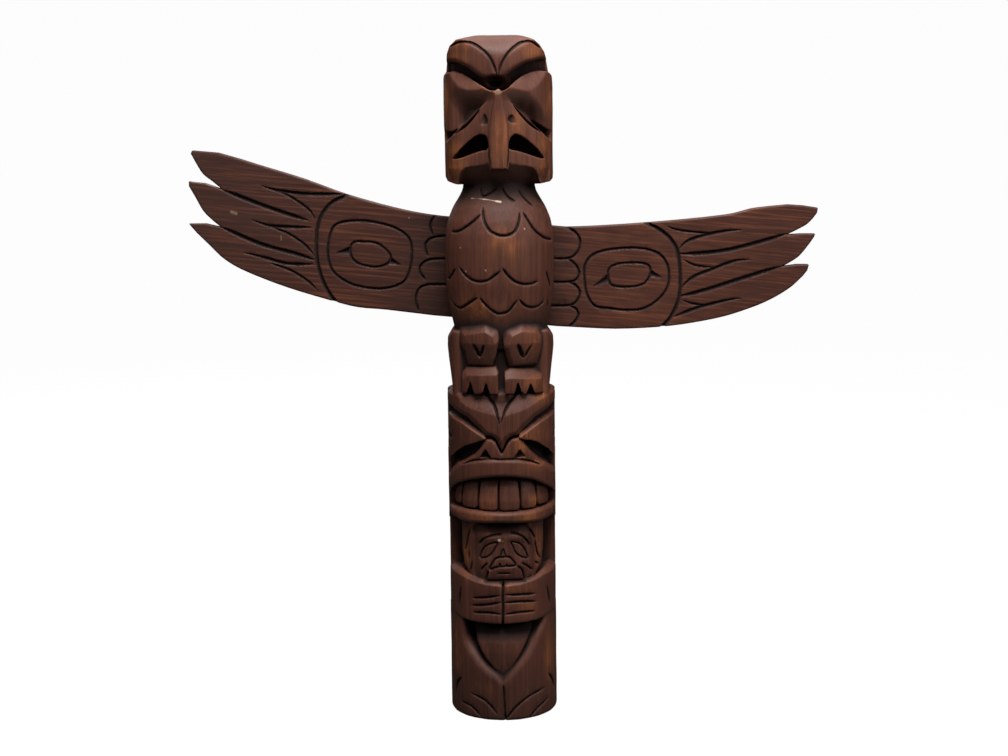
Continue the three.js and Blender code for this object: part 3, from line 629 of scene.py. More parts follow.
# %% Cut the feathers, marks and lines of the eagle
BREAST_FEATHERS = [
    [(-18.6, 338), (-16.6, 334), (-14.4, 332.6), (-9, 334), (-1.4, 337.6)],
    [(2.6, 338.4), (5.6, 334), (9.6, 331), (13.8, 329.4)],
    [(18.6, 336.6), (23, 331), (29.4, 325.6)],
    [(-38, 310.6), (-32, 311), (-26.6, 312.6), (-18.6, 317.4), (-13.2, 322)],
    [(-12.4, 326.4), (-11, 320), (-6.6, 312.6), (0, 309.3), (5.4, 309.4), (10.2, 312), (13.4, 317.6),
     (14.8, 323)],
    [(17.4, 323), (20.4, 317.6), (25, 311.4), (33, 306.8), (44, 304.6)],
    [(-45, 281), (-40, 282.2), (-32, 288)],
    [(-28.4, 289.4), (-24.4, 285.4), (-19.6, 282.4), (-14, 280.9), (-7.4, 282), (0.4, 287.6)],
    [(1.4, 289.4), (5, 284.6), (9.4, 280.9), (15, 279), (21, 279), (26.4, 280.2)],
    [(34.4, 286), (38, 280), (41.6, 274.6)],
    [(-43, 269), (-37.6, 265.6), (-31, 263.6), (-25, 265.4), (-14.8, 271)],
    [(-13.4, 270.8), (-9.6, 266.4), (-4.6, 262.4), (-0.4, 261), (5.4, 262.6), (11.2, 269.4)],
    [(12.4, 269.6), (16.4, 265.8), (22, 264), (28, 264.6), (33.8, 267.2)],
    [(38, 268), (41, 262)],
]
log_strokes(BREAST_FEATHERS, 2.3, 1.9)
BROW_ARCS = [
    [(-0.5, 406.2), (-2.5, 411.8), (-5.7, 417.6), (-11.4, 422.4), (-17.4, 425.4), (-23.1, 426.2),
     (-28.6, 425.8), (-37, 423.6)],
    [(0.4, 406.2), (2.2, 412.6), (7, 419.6), (13.6, 424.4), (18.9, 426), (23.8, 425.7), (31, 422)],
]
log_strokes(BROW_ARCS, 2.0, 1.8)
UNDER_EYES = [
    [(-12.6, 386), (-17.4, 381.6), (-24, 375.8), (-33, 370.4)],
    [(10.6, 388), (15.6, 383.4), (23.4, 376.4), (33.6, 370.4)],
]
log_strokes(UNDER_EYES, 2.8, 3.0, taper=8)
BEAK_LINES = [[(-6.8, 366), (-6.4, 357), (-5.2, 349)], [(7, 366), (6.4, 357), (5.4, 349.4)]]
log_strokes(BEAK_LINES, 1.3, 1.3, taper=5)
KNEE_CUTS = [[(-18, 242), (-16.2, 237.8), (-14.2, 233.2)], [(10.6, 242.4), (13, 237.4), (15.9, 232.4)]]
log_strokes(KNEE_CUTS, 3.4, 2.8)
KNEE_RETURNS = [[(-14.2, 233.2), (-12.4, 237.6), (-10.6, 242.1)], [(15.9, 232.4), (18.2, 236.4), (20.7, 241)]]
log_strokes(KNEE_RETURNS, 2.4, 2.2)
print(len(BREAST_FEATHERS), "feather cuts")

# %% Cut the bear's lines
BEAR_ARCS = [
    [(-13, 211.4), (-9, 208.2), (-5.7, 204.8), (-3.6, 200.8), (-2.4, 196.4), (-1.3, 191)],
    [(14, 211.6), (10.4, 209), (7, 206.2), (4, 202.8), (1.6, 198.6), (-0.6, 192)],
]
log_strokes(BEAR_ARCS, 2.3, 2.3, taper=(1, 10))
SNOUT_LINES = [
    [(-10.4, 184), (-6, 183.4), (-3.6, 180.6), (-1.6, 176.4), (-0.2, 172.6)],
    [(11, 184.8), (6.4, 182.8), (3.4, 179.6), (1.4, 175.8), (0, 172.6)],
]
log_strokes(SNOUT_LINES, 1.5, 1.5)
OVER_LIP = [(-28.6, 164.8), (-20, 168), (-8, 169.8), (-2, 169.6), (10, 169.4), (20, 167.2), (28, 164)]
log_strokes([OVER_LIP], 1.6, 1.6)
print(len(BEAR_ARCS), "arcs on the bear's brow")

# %% Cut the small face, the hands and the toes
SMALL_FACE = [
    [(-18.5, 113.6), (-14.6, 117.3), (-7.7, 119.9), (-0.7, 120.7)],
    [(5.2, 121.7), (11.7, 120.3), (17.5, 116.6), (21.2, 112)],
    [(-1.8, 106.2), (-0.9, 109.3), (0.2, 112)], [(0.2, 112), (1.1, 109), (1.8, 106.2)],
    [(-10.4, 97.6), (-8.4, 101.3), (-5.1, 105.2), (-0.7, 106.1), (4.5, 106), (7.4, 103.4), (10, 100.4)],
    [(-10.4, 97.6), (-5.1, 99.5), (-2.4, 100), (2.8, 100.2), (10, 100.4)],
    [(10, 100.4), (14.1, 97), (16.2, 90.4)], [(-10.8, 97.4), (-12.1, 93.5), (-13.2, 90)],
    [(-4.2, 95.4), (0.6, 95.7), (5.4, 95.4)], [(-13.2, 90.4), (1, 91), (16.2, 90.6)],
    [(-16.9, 96.7), (-14.1, 99.7), (-11, 102.2)], [(13.4, 102), (18.5, 99.2), (23, 96.1)],
]
log_strokes(SMALL_FACE, 1.9, 1.7, taper=1.6)
log_strokes([[(-2.4, 102.6), (-2.2, 100)], [(2.4, 102.2), (2.6, 100.2)]], 1.8, 2.2, taper=1)
SMALL_EYES = [
    [(-4, 115.4), (-8.2, 114.7), (-12.9, 112.8), (-16.1, 109.2), (-17.2, 105.4), (-12.7, 105.6),
     (-8.2, 108.4), (-5.5, 112.2)],
    [(6.2, 115.8), (11.7, 114.7), (15.7, 111.5), (18.6, 106.3), (18.7, 104.5), (13.6, 105.7), (9.4, 108.8),
     (7.3, 113)],
]
log_strokes(SMALL_EYES, 1.6, 1.5, closed=True)
HAIR = [
    [(-24.9, 124), (-26.9, 118.5), (-28.8, 113), (-31.1, 108)], [(-26, 109.4), (-27.2, 102.6)],
    [(-23.4, 102.6), (-25.4, 94.8)], [(19.6, 124.6), (22.1, 120.5), (25.4, 116)],
    [(24.4, 116.5), (25.9, 110.6), (27.3, 106.4), (30.2, 102.6)], [(23.6, 101.8), (28.8, 99.2)],
]
log_strokes(HAIR, 2.1, 2.0, taper=4)
FINGERS = [
    [(-21.4, 79.2), (-11.3, 80.6), (-2, 82.2)], [(-22.4, 74.2), (-9.9, 76), (-0.7, 78)],
    [(-21.2, 69.8), (-9.9, 70.8), (-1.4, 69.8)], [(0.8, 82.6), (10.4, 82.3), (22.4, 81.6)],
    [(0.4, 77.6), (11.2, 77.7), (22.8, 76.4)], [(0.4, 69.8), (10.2, 70.8), (21.8, 70.2)],
]
log_strokes(FINGERS, 2.1, 2.2, taper=5)
log_strokes([[(0.1, 90.6), (-0.5, 82), (-0.3, 74), (-0.6, 62)]], 2.0, 2.8, taper=3)
WRISTS = [[(-31.2, 85), (-33.4, 77.4), (-34.4, 70.6)], [(33, 85), (35.1, 78.1), (37, 70.8)]]
log_strokes(WRISTS, 2.4, 2.2, taper=5)
TOES = [
    [(-23.4, 16.2), (-14.7, 13.8), (-8.9, 9.6), (-4.6, 4)], [(-32.8, 8.6), (-23.2, 7.4), (-15.4, 1.6)],
    [(29.4, 18), (17.1, 15), (8.3, 9.5), (2.1, 2.6), (0.4, -1)], [(33.8, 10.2), (23.6, 6.2), (15, -0.4)],
]
log_strokes(TOES, 2.2, 2.0, taper=6)
ANKLES = [[(-31.4, 25), (-37.5, 19.6), (-40.4, 10)], [(33.6, 26.8), (39.6, 20.6), (43.4, 14)]]
log_strokes(ANKLES, 3.0, 2.6, taper=6)
log_strokes([[(-0.6, 24), (-0.2, 16), (0.2, 8), (0.6, -3)]], 1.5, 1.9, taper=3)
log_strokes([[(0.2, 8), (0.6, -4)]], 3.0, 2.8, taper=8)
print("map holds cuts down to", round(float(log_cuts.max()), 1), "mm")

# %% [markdown]
# ## Claws and the board's notch
# The gaps between the claws are small three-sided chips, cut with the tip of the knife. The notch for the
# wings is sawn across the back at the wings' own angle, a hair wider than the board.

# %% Cut the chips, the notch and the flat back
cosine, sine = math.cos(BOARD_TILT), math.sin(BOARD_TILT)
untilt = np.array([[cosine, -sine], [sine, cosine]])
board_points = np.array([v.co[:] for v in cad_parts["wing_board"].data.vertices]) / MM
level_points = (board_points[:, [0, 2]] - (0, BOARD_MIDDLE)) @ untilt.T
behind_pole = level_points[np.abs(level_points[:, 0]) < 38]
FALL, RISE = float(behind_pole[:, 1].min()), float(behind_pole[:, 1].max())
NOTCH_GAP = 0.3
FOOT_RIM = 2.2  # height over which the foot's edge is eased
print(f"behind the pole the board spans {FALL:.1f} to {RISE:.1f} mm about its middle line")


def to_board(x, z):
    """A place on the front, turned into the board's own level frame."""
    z = z - BOARD_MIDDLE
    return x * untilt[0, 0] + z * untilt[0, 1], x * untilt[1, 0] + z * untilt[1, 1]


def finish_block():
    columns = ((around - unrolled[0]) / MAP_STEP).astype(int).clip(0, len(unrolled) - 1)
    for low in range(0, len(upward), 200):
        layers = slice(low, low + 200)
        wood[:, :, layers] += log_cuts[columns, layers]
    # Chips between the claws.
    layers, z = span(BEAR_TOP - 2, 219)
    for x, top in ((-19.1, 217.9), (-9.3, 217.6), (10.6, 217.9), (18.4, 216.6)):
        sides = [(x - 3, BEAR_TOP), (x - 1.8, 212.6), (x, top), (x + 1.8, 212.6), (x + 3, BEAR_TOP)]
        dig(np.maximum(front(smooth_path(sides, steps=3), z), Y + 21), layers, 0.4)
    # The bear's nostrils.
    for x, low, high in ((-10.2, 170.2, 175.6), (11.3, 170.2, 175.2)):
        layers, z = span(low - 2, high + 2)
        nostril = [(x - 3.9, low), (x - 0.4, high), (x + 0.4, high), (x + 3.9, low)]
        dig(soft_max(front(nostril, z), Y + 28.4, 1.0), layers, 0.3)
    # The outer corners of the bear's eyes.
    layers, z = span(174, 187)
    for corner in ([(-46, 184), (-33.2, 183), (-30.8, 180.6), (-33.2, 177.2), (-46, 176.4)],
                   [(46, 182.6), (33.7, 182), (31.8, 180.4), (33.7, 177.6), (46, 177)]):
        dig(np.maximum(front(corner, z), Y - 2), layers, 0.5)
    # The notch for the board.
    layers, z = span(BOARD_MIDDLE + FALL - 8, BOARD_MIDDLE + RISE + 8)
    _, v = to_board(X, z)
    notch = np.maximum(np.maximum(FALL - NOTCH_GAP - v, v - RISE - NOTCH_GAP), BOARD_FRONT - NOTCH_GAP - Y)
    wood[:, :, layers] = np.maximum(wood[:, :, layers], -notch)
    # The planed back, the foot's eased rim and the flat ends.
    rim = np.clip(FOOT_RIM - upward, 0, FOOT_RIM) ** 2 / (2 * FOOT_RIM)
    for skin in (Y - BACK, from_axis - LOG + rim, np.maximum(-upward, upward - CROWN_TOP)):
        wood[:] = np.maximum(wood, skin)


finish_block()
print("cells left as wood:", int((wood < 0).sum()))

# %% [markdown]
# ## From the block to a mesh
# The skin of the field, where it crosses zero, becomes a mesh of small even faces. A Geometry Nodes tree
# then lays the shallow scoops of the knife over it, which a carved surface always keeps: a Voronoi pattern
# stretched along the grain pushes the skin in and out by a tenth of a millimetre. Last, faces are thinned
# where the wood is smooth and kept where it is cut.

# %% Turn a field into a mesh


def skin_of(field, corner, cell, name):
    """The closed skin of a field, in metres. corner is the place of the first cell, in millimetres."""
    grid = openvdb.FloatGrid(2 * cell)
    grid.copyFromArray(np.clip(field, -2 * cell, 2 * cell))
    points, triangles, quads = grid.convertToPolygons()
    points = (points * cell + np.asarray(corner)) * MM
    corners = np.concatenate([quads[:, ::-1].ravel(), triangles[:, ::-1].ravel()]).astype(np.int32)
    starts = np.concatenate([np.arange(len(quads)) * 4, len(quads) * 4 + np.arange(len(triangles)) * 3])
    mesh = bpy.data.meshes.new(name)
    mesh.vertices.add(len(points))
    mesh.vertices.foreach_set("co", points.astype(np.float32).ravel())
    mesh.loops.add(len(corners))
    mesh.loops.foreach_set("vertex_index", corners)
    mesh.polygons.add(len(starts))
    mesh.polygons.foreach_set("loop_start", starts.astype(np.int32))
    mesh.update(calc_edges=True)
    piece = bpy.data.objects.new(name, mesh)
    bpy.context.scene.collection.objects.link(piece)
    print(name, "skin:", len(points), "points")
    return piece


# %% Build the knife-scoop tree


def add_socket(tree, name, kind, default=None, output=False):
    socket = tree.interface.new_socket(name, in_out="OUTPUT" if output else "INPUT", socket_type=kind)
    if default is not None:
        socket.default_value = default


def new_node(tree, kind, settings=(), values=()):
    node = tree.nodes.new(kind)
    for name, value in dict(settings).items():
        setattr(node, name, value)
    for name, value in dict(values).items():
        node.inputs[name].default_value = value
    return node


def make_scoop_tree():
    """Shallow scoops over a surface, longer along the grain."""
    tree = bpy.data.node_groups.new("knife_scoops", "GeometryNodeTree")
    add_socket(tree, "Geometry", "NodeSocketGeometry")
    add_socket(tree, "Geometry", "NodeSocketGeometry", output=True)
    add_socket(tree, "Scoop Size", "NodeSocketVector", (0.006, 0.006, 0.016))
    add_socket(tree, "Depth", "NodeSocketFloat", 0.0002)
    add_socket(tree, "Seed", "NodeSocketInt", 1)
    add_socket(tree, "Finish", "NodeSocketMaterial")
    inputs = new_node(tree, "NodeGroupInput")
    outputs = new_node(tree, "NodeGroupOutput")
    position = new_node(tree, "GeometryNodeInputPosition")
    divide = new_node(tree, "ShaderNodeVectorMath", {"operation": "DIVIDE"})
    shift = new_node(tree, "ShaderNodeVectorMath", {"operation": "ADD"})
    scoops = new_node(tree, "ShaderNodeTexVoronoi", {"feature": "SMOOTH_F1"},
                      {"Scale": 1.0, "Smoothness": 0.12})
    centred = new_node(tree, "ShaderNodeMath", {"operation": "SUBTRACT"}, {1: 0.75})
    scaled = new_node(tree, "ShaderNodeMath", {"operation": "MULTIPLY"})
    normal = new_node(tree, "GeometryNodeInputNormal")
    push = new_node(tree, "ShaderNodeVectorMath", {"operation": "SCALE"})
    move = new_node(tree, "GeometryNodeSetPosition")
    realize = new_node(tree, "GeometryNodeRealizeInstances")
    finish = new_node(tree, "GeometryNodeSetMaterial")
    for source, output, target, socket in (
            (position, "Position", divide, 0), (inputs, "Scoop Size", divide, 1),
            (divide, "Vector", shift, 0), (inputs, "Seed", shift, 1), (shift, "Vector", scoops, "Vector"),
            (scoops, "Distance", centred, 0), (centred, "Value", scaled, 0), (inputs, "Depth", scaled, 1),
            (normal, "Normal", push, "Vector"), (scaled, "Value", push, "Scale"),
            (inputs, "Geometry", move, "Geometry"), (push, "Vector", move, "Offset"),
            (move, "Geometry", realize, "Geometry"), (realize, "Geometry", finish, "Geometry"),
            (inputs, "Finish", finish, "Material"), (finish, "Geometry", outputs, "Geometry")):
        tree.links.new(source.outputs[output], target.inputs[socket])
    return tree


scoop_tree = make_scoop_tree()
print("scoop tree has", len(scoop_tree.nodes), "nodes")

# %% Lay the scoops and thin the faces
SHARP = math.radians(50)  # edges sharper than this stay crisp


def set_input(modifier, name, value):
    """Sets a modifier's input by its socket's identifier."""
    for item in modifier.node_group.interface.items_tree:
        if item.item_type == "SOCKET" and item.in_out == "INPUT" and item.name == name:
            modifier[item.identifier] = value


def finish_mesh(piece, size, depth, seed, material, most_faces):
    """Lays the scoops, thins the faces and leaves a plain mesh on the piece."""
    scoops = piece.modifiers.new("scoops", "NODES")
    scoops.node_group = scoop_tree
    for name, value in (("Scoop Size", size), ("Depth", depth), ("Seed", seed), ("Finish", material)):
        set_input(scoops, name, value)
    faces = sum(len(p.vertices) - 2 for p in piece.data.polygons)
    thin = piece.modifiers.new("thin", "DECIMATE")
    thin.ratio = min(1.0, most_faces / faces)
    thin.use_collapse_triangulate = True
    bpy.context.view_layer.update()
    evaluated = piece.evaluated_get(bpy.context.evaluated_depsgraph_get())
    mesh = bpy.data.meshes.new_from_object(evaluated)
    piece.modifiers.clear()
    old = piece.data
    piece.data = mesh
    bpy.data.meshes.remove(old)
    mesh.name = piece.name
    mesh.polygons.foreach_set("use_smooth", np.ones(len(mesh.polygons), bool))
    mesh.set_sharp_from_angle(angle=SHARP)
    print(piece.name, "has", len(mesh.polygons), "faces")


# %% [markdown]
# ## Where stain and painted shade gather, and where hands have worn
# Stain pools in knife cuts and hollows, and rubs off high edges until the orange heartwood shows. Painted
# shade is laid in the same hollows and recesses. Both follow the shape: comparing the field with a blurred
# copy of itself tells a ridge from a hollow. The values are kept on the mesh's points, so that the finish
# can read them from any side.

# %% Measure edges and hollows


def blurred(field, radius, passes=2):
    """A box blur along all three axes, a few times over."""
    width = 2 * radius + 1
    for _ in range(passes):
        for axis in range(3):
            pad = [(radius + 1, radius) if i == axis else (0, 0) for i in range(3)]
            total = np.cumsum(np.pad(field, pad, "edge"), axis=axis, dtype=np.float32)
            high = np.take(total, range(width, total.shape[axis]), axis=axis)
            low = np.take(total, range(0, total.shape[axis] - width), axis=axis)
            field = (high - low) / width
    return field


def read_field(field, places):
    """Values of a field at places given in cells, blended between the eight cells around each."""
    places = np.clip(places, 0, np.array(field.shape) - 1.001)
    base = places.astype(int)
    value = np.zeros(len(places))
    for corner in np.ndindex(2, 2, 2):
        weight = np.abs(1 - np.array(corner) - (places - base)).prod(axis=1)
        value += weight * field[tuple((base + corner).T)]
    return value


def keep_values(mesh, name, values):
    attribute = mesh.attributes.new(name, "FLOAT", "POINT")
    attribute.data.foreach_set("value", np.clip(values, 0, 1).astype(np.float32))


def ramp(values, low, high):
    share = np.clip((values - low) / (high - low), 0, 1)
    return share * share * (3 - 2 * share)


def mesh_places(mesh):
    flat = np.zeros(len(mesh.vertices) * 3, np.float32)
    mesh.vertices.foreach_get("co", flat)
    return flat.reshape(-1, 3) / MM


def fading(values, low, high):
    return 1 - ramp(values, low, high)


def wear_values(field, cells, cell):
    """How sharp a ridge, how much of a hollow and how proud a swelling each point lies on, from 0 to 1."""
    coarse = 2
    small = np.clip(field[::coarse, ::coarse, ::coarse], -8, 8)
    fine = blurred(np.clip(field, -3, 3), max(1, round(0.9 / cell)), 1)
    wide = blurred(small, max(1, round(3.2 / cell / coarse)), 2)
    here = read_field(field, cells)
    sharp = read_field(fine, cells) - here
    broad = read_field(wide, cells / coarse) - here
    return ramp(sharp, 0.08, 0.34), ramp(-broad, 0.12, 1.1), ramp(broad, 0.1, 1.2)


def widened(cuts, u_cells, v_cells):
    """A map of cuts grown outwards, so that it also covers the wood just beside each cut."""
    grown = cuts
    for shift, axis in ((u_cells, 0), (v_cells, 1)):
        for move in range(-shift, shift + 1):
            grown = np.maximum(grown, np.roll(cuts if axis == 0 else grown, move, axis=axis))
    return grown


def facing_up(mesh):
    """How far each point of a mesh faces the sky, from -1 to 1."""
    normals = np.zeros(len(mesh.vertices) * 3, np.float32)
    mesh.vertex_normals.foreach_get("vector", normals)
    return normals[2::3]


# %% [markdown]
# ## Make the pole
# The carved log becomes one closed piece. It replaces the plain solid of the frame, which stays behind for
# weight and contact.

# %% Find places on the carved surface


def surface_place(x, z):
    """The place in metres where a straight look from the front first meets wood."""
    column = wood[np.searchsorted(across, x), :, np.searchsorted(upward, z)]
    first = int(np.argmax(column < 0))
    back = column[first] / (column[first] - column[first - 1])
    return (x * MM, float(through[first] - back * CELL) * MM, z * MM)


def surface_places(*places):
    return [surface_place(x, z) for x, z in places]


SCRATCH = surface_places((-17.0, 331.4), (-9.4, 331.0), (-1.6, 329.8), (0.8, 329.4))
NAIL_HOLE = surface_places((-2.1, 117.0), (-0.6, 116.6), (5.3, 115.3))
FLECKS = surface_places((-24.4, 301.4), (-8.6, 288), (15.4, 313), (-21, 287))
BEAK_TIP = surface_place(0, 396.4)
print("scratch starts at", np.round(SCRATCH[0], 4))

# %% Skin the pole
POLE_FACES, WING_FACES = 190000, 150000  # most triangles each piece may keep
pole_finish = bpy.data.materials.new("stained_cedar_pole")
wing_finish = bpy.data.materials.new("stained_cedar_wings")
pole_corner = (across[0], through[0], upward[0])

pole = skin_of(wood, pole_corner, CELL, "carved_pole")
finish_mesh(pole, (0.0065, 0.0065, 0.017), 0.00022, 3, pole_finish, POLE_FACES)
pole_places = mesh_places(pole.data)
px, py, pz = pole_places.T
worn, stain_and_shade, proud = wear_values(wood, (pole_places - np.array(pole_corner)) / CELL, CELL)
map_u = ((LOG * np.arctan2(px, -py) - unrolled[0]) / MAP_STEP).astype(int).clip(0, len(unrolled) - 1)
map_v = np.round((pz - upward[0]) / CELL).astype(int).clip(0, len(upward) - 1)
beside_cut = widened(log_cuts, round(1.0 / MAP_STEP), round(1.0 / CELL))[map_u, map_v]
# The cuts darken with pooled stain and with painted shade.
keep_values(pole.data, "knife_cut", ramp(log_cuts[map_u, map_v], 0.05, 0.8))
keep_values(pole.data, "worn", worn * (1 - 0.85 * ramp(beside_cut, 0.1, 0.8)))
keep_values(pole.data, "proud", proud)
del wood

# %% Paint shade on what lies deep, and lay dust and a painted sheen on what faces up
up = facing_up(pole.data)
sunk_by = LOG - np.hypot(px, py)
in_front = ramp(-py, -16, -8)
below_crown = fading(pz, 405, 418)
lit_from_above = ramp(up, 0.2, 0.6)
# The flat crown and the planed back are open faces, so they take neither stain nor painted shade.
open_face = np.maximum(ramp(pz, HEIGHT - 3, HEIGHT), ramp(py, BACK - 4, BACK - 0.5))
# Stain pooled in hollows, with painted shade there too, kept lighter where a face looks up to the light.
stain_and_shade = stain_and_shade * (1 - 0.75 * lit_from_above) * (1 - open_face)
eye_zone = ramp(pz, 366, 372) * fading(pz, 392, 398)
# Painted shade deep in the recesses in front, and more of it in the eyes.
sunk = ramp(sunk_by + 2 * eye_zone, 4.5, 12.0) * in_front * (1 - 0.4 * lit_from_above) * below_crown
sunk = sunk * (1 - 0.4 * ramp(pz, 396, 402))
# Painted shade under the overhang of the hands.
under_hands = ramp(pz, 47, 57) * (pz < HANDS + 2) * ramp(sunk_by, 1.2, 3.6)
sunk = np.maximum(sunk, under_hands * in_front)
# Painted shade: darker towards the foot, as the light from above falls off downward.
foot = 0.30 * fading(pz, 5, 75)
keep_values(pole.data, "stain_and_shade", np.maximum(stain_and_shade, sunk) * (1 - foot) + foot)
# Faces that look up are lightened: partly dust, partly a painted sheen.
keep_values(pole.data, "dust_and_sheen", ramp(up, 0.12, 0.6) * (1 - 0.6 * stain_and_shade) * (1 - sunk) * below_crown)
print("points in the dark of a hollow:", int((np.maximum(stain_and_shade, sunk) > 0.5).sum()))

# %% Rub proud places bare
# Each place has its middle, half its width and half its height.
RUBBED = [
    (21.5, 421, 8, 6), (-22, 425, 7, 4), (-25, 417, 7, 4), (0, 396, 2.2, 3), (1, 366, 6, 16),
    (13.5, 376, 6, 9), (24.5, 364, 8, 6), (-27, 361, 6, 5), (-32, 390, 3, 14), (32, 392, 3.5, 14),
    (-26, 350, 7, 5), (25, 351, 8, 5), (2, 304, 9, 8), (-12, 262, 12, 8), (18, 240, 7, 8), (20, 216, 6, 4),
    (27, 207, 5, 5), (20, 184, 11, 4), (12, 178, 4, 7), (-10, 181, 5, 2.5), (19, 164, 6, 3),
    (17, 132, 9, 3), (-14, 132, 12, 3), (20, 141, 4, 4), (-9, 141, 4, 4), (-24, 108, 3, 14),
    (24, 108, 3, 14), (10, 86, 9, 3), (12, 73, 8, 3), (29, 36, 3, 16), (-12, 20, 6, 4), (-30, 40, 2.5, 14),
]
rubbed = np.zeros(len(pole_places))
for x, z, half_width, half_height in RUBBED:
    rubbed = np.maximum(rubbed, mound(px - x, half_width, pz - z, half_height))
keep_values(pole.data, "rubbed", rubbed * in_front * (1 - 0.7 * stain_and_shade))
print("rubbed places:", len(RUBBED))

# %% [markdown]
# ## The wings
# Both wings are one board. Its outline is sawn: three long feathers end in points on each side. The front
# carries the formline pattern in V cuts, with an oval joint, an inner eye with two sharp corners, a big
# curve where the feathers start, and four round feathers against the body. It is sculpted level in its
# own frame, then turned by the small angle that it hangs at.

# %% Draw the wings' outline
LEFT_TIP, RIGHT_TIP = float(level_points[:, 0].min()), float(level_points[:, 0].max())
right_bottom = smooth_path([(40, FALL), (78, FALL + 1.6), (112, -28.2), (141, -20.8), (160, -13.4),
                            (175, -5.6), (187, 3.2), (194.4, 11.4)], steps=4)
right_wing = [
    *right_bottom, (197, 15.4), (197.6, 19.2), (190, 18.6), (180.2, 16.4),
    *smooth_path([(184, 18.6), (190.4, 23.8), (195, 30.4), (198.8, 37)], steps=3),
    (199.4, 39.2), (190, 38.4), (181.4, 37),
    *smooth_path([(187, 40.4), (193, 44.4), (196.6, 48.6)], steps=3),
    (199, 52.6), (199.2, 55.8), (190, 56.4), (180, 56.2),
    *smooth_path([(169, 54.2), (157.8, 51.8), (149, 48.6), (140.4, 46.1), (117, 41.4), (82, 35.4),
                  (56, 31.6), (40, RISE)], steps=3),
]
left_bottom = smooth_path([(40, FALL), (70, -33.6), (88, -33.6), (103, -31.4), (135, -24.8), (162, -16.8),
                           (176, -10.4), (187, -1.6), (195.4, 5.4)], steps=4)
left_wing = [
    *left_bottom, (200.6, 10.6), (190, 11.6), (180, 10.2),
    *smooth_path([(185, 13.6), (192, 19.6), (198, 28.6), (202, 34.4)], steps=3),
    (202.4, 37.4), (192, 37.2), (181, 34.4),
    *smooth_path([(187, 38.6), (193.6, 43), (198.6, 49.6)], steps=3),
    (202.2, 55.2), (201.4, 57.2), (185, 57.2),
    *smooth_path([(171, 54.6), (158.4, 51.8), (128.6, 45.4), (101.8, 38.2), (71, 32.4), (52, 30.2),
                  (40, RISE)],
                 steps=3),
]
wings_outline = right_wing + [(-x, z) for x, z in reversed(left_wing)]
print("wings outline has", len(wings_outline), "points, from", round(LEFT_TIP, 1), "to", round(RIGHT_TIP, 1))

# %% Set up the board's block and its map of cuts
BOARD_CELL = 0.4
along = np.arange(LEFT_TIP - 3, RIGHT_TIP + 3, BOARD_CELL, dtype=np.float32)
depth_axis = np.arange(-1.6, BOARD_THICK + 1.6, BOARD_CELL, dtype=np.float32)
rise_axis = np.arange(FALL - 2, 60, BOARD_CELL, dtype=np.float32)
wing_cuts = np.zeros((len(along), len(rise_axis)), np.float32)


def wing_strokes(paths, width, depth, taper=3.0, closed=False):
    for path in paths:
        stroke(wing_cuts, along, rise_axis, path, width, depth, taper, closed)


# %% Cut the feather lines
SPLITS = [
    [(181, 37.6), (170, 33), (160, 29.2), (148, 25), (137, 22.1), (125, 20), (113.6, 18.6)],
    [(179.6, 16.4), (171, 13), (162.4, 9.4), (150, 4.2), (139.5, -0.3), (127, -5.2), (116.4, -8.4)],
    [(-181, 34.2), (-165, 29.4), (-150.2, 25.2), (-137, 22), (-124, 19.2)],
    [(-180, 10.4), (-167, 5.8), (-154.3, 1.7), (-142, -0.8), (-130.9, -2.7), (-118.5, -5.6)],
]
wing_strokes(SPLITS, 3.0, 2.2, taper=10)
STEMS = [
    [(152.6, 37.6), (141.5, 35.8), (129.6, 32.3), (118.5, 27.5), (113.2, 21.8)],
    [(160.2, 19.2), (149.3, 17.2), (137, 11.3), (124.4, 4.8), (117.2, -2.8)],
    [(157.4, -6.4), (151.9, -7), (140, -10.8), (128.8, -14.9), (113.9, -22.2)],
    [(-156.8, 38.9), (-150, 37.4), (-143.9, 36.6), (-127.9, 36), (-103.5, 38)],
    [(-161.1, 16.5), (-154, 14.8), (-148.1, 13.8), (-134, 14.2), (-121.9, 15.1)],
    [(-165.2, -4.7), (-157, -5.8), (-149.9, -7), (-136.2, -9.4), (-118.6, -8.4)],
]
wing_strokes(STEMS, 2.5, 1.9, taper=(16, 10))
BRANCHES = [
    [(103.5, 35.8), (110.8, 34), (123.7, 33.4), (134.6, 34)], [(116.2, 15.6), (124.6, 12.4), (136.9, 11.9)],
    [(118, -10.6), (126.2, -12.5), (137.2, -12.4)],
    [(-148.4, 36.6), (-141, 35), (-134.7, 32.3), (-124.6, 26.1), (-120.2, 20.4)],
    [(-149.4, 13.5), (-142, 11.6), (-135, 9), (-125.6, 3.6), (-118.7, -3.2)],
    [(-147.8, -10), (-139, -12), (-131.4, -14.5), (-122, -19.6), (-115, -25.4)],
]
wing_strokes(BRANCHES, 1.8, 1.6, taper=8)
SHOULDERS = [
    [(89, 36.6), (94, 35.4), (98.6, 33.6), (106.6, 28.4), (112.4, 20.4), (115.6, 6.6), (116.5, -8.8),
     (112.8, -21.6), (106.4, -30.4)],
    [(-99, 38.6), (-105, 35.4), (-111.4, 31), (-116.8, 22.4), (-118.6, 11.8), (-117.4, -4), (-114, -15.4),
     (-108.6, -25.2), (-102, -32.6)],
]
wing_strokes(SHOULDERS, 2.7, 2.0, taper=3)
print("longest wing cuts drawn:", len(SPLITS) + len(STEMS) + len(BRANCHES) + len(SHOULDERS))

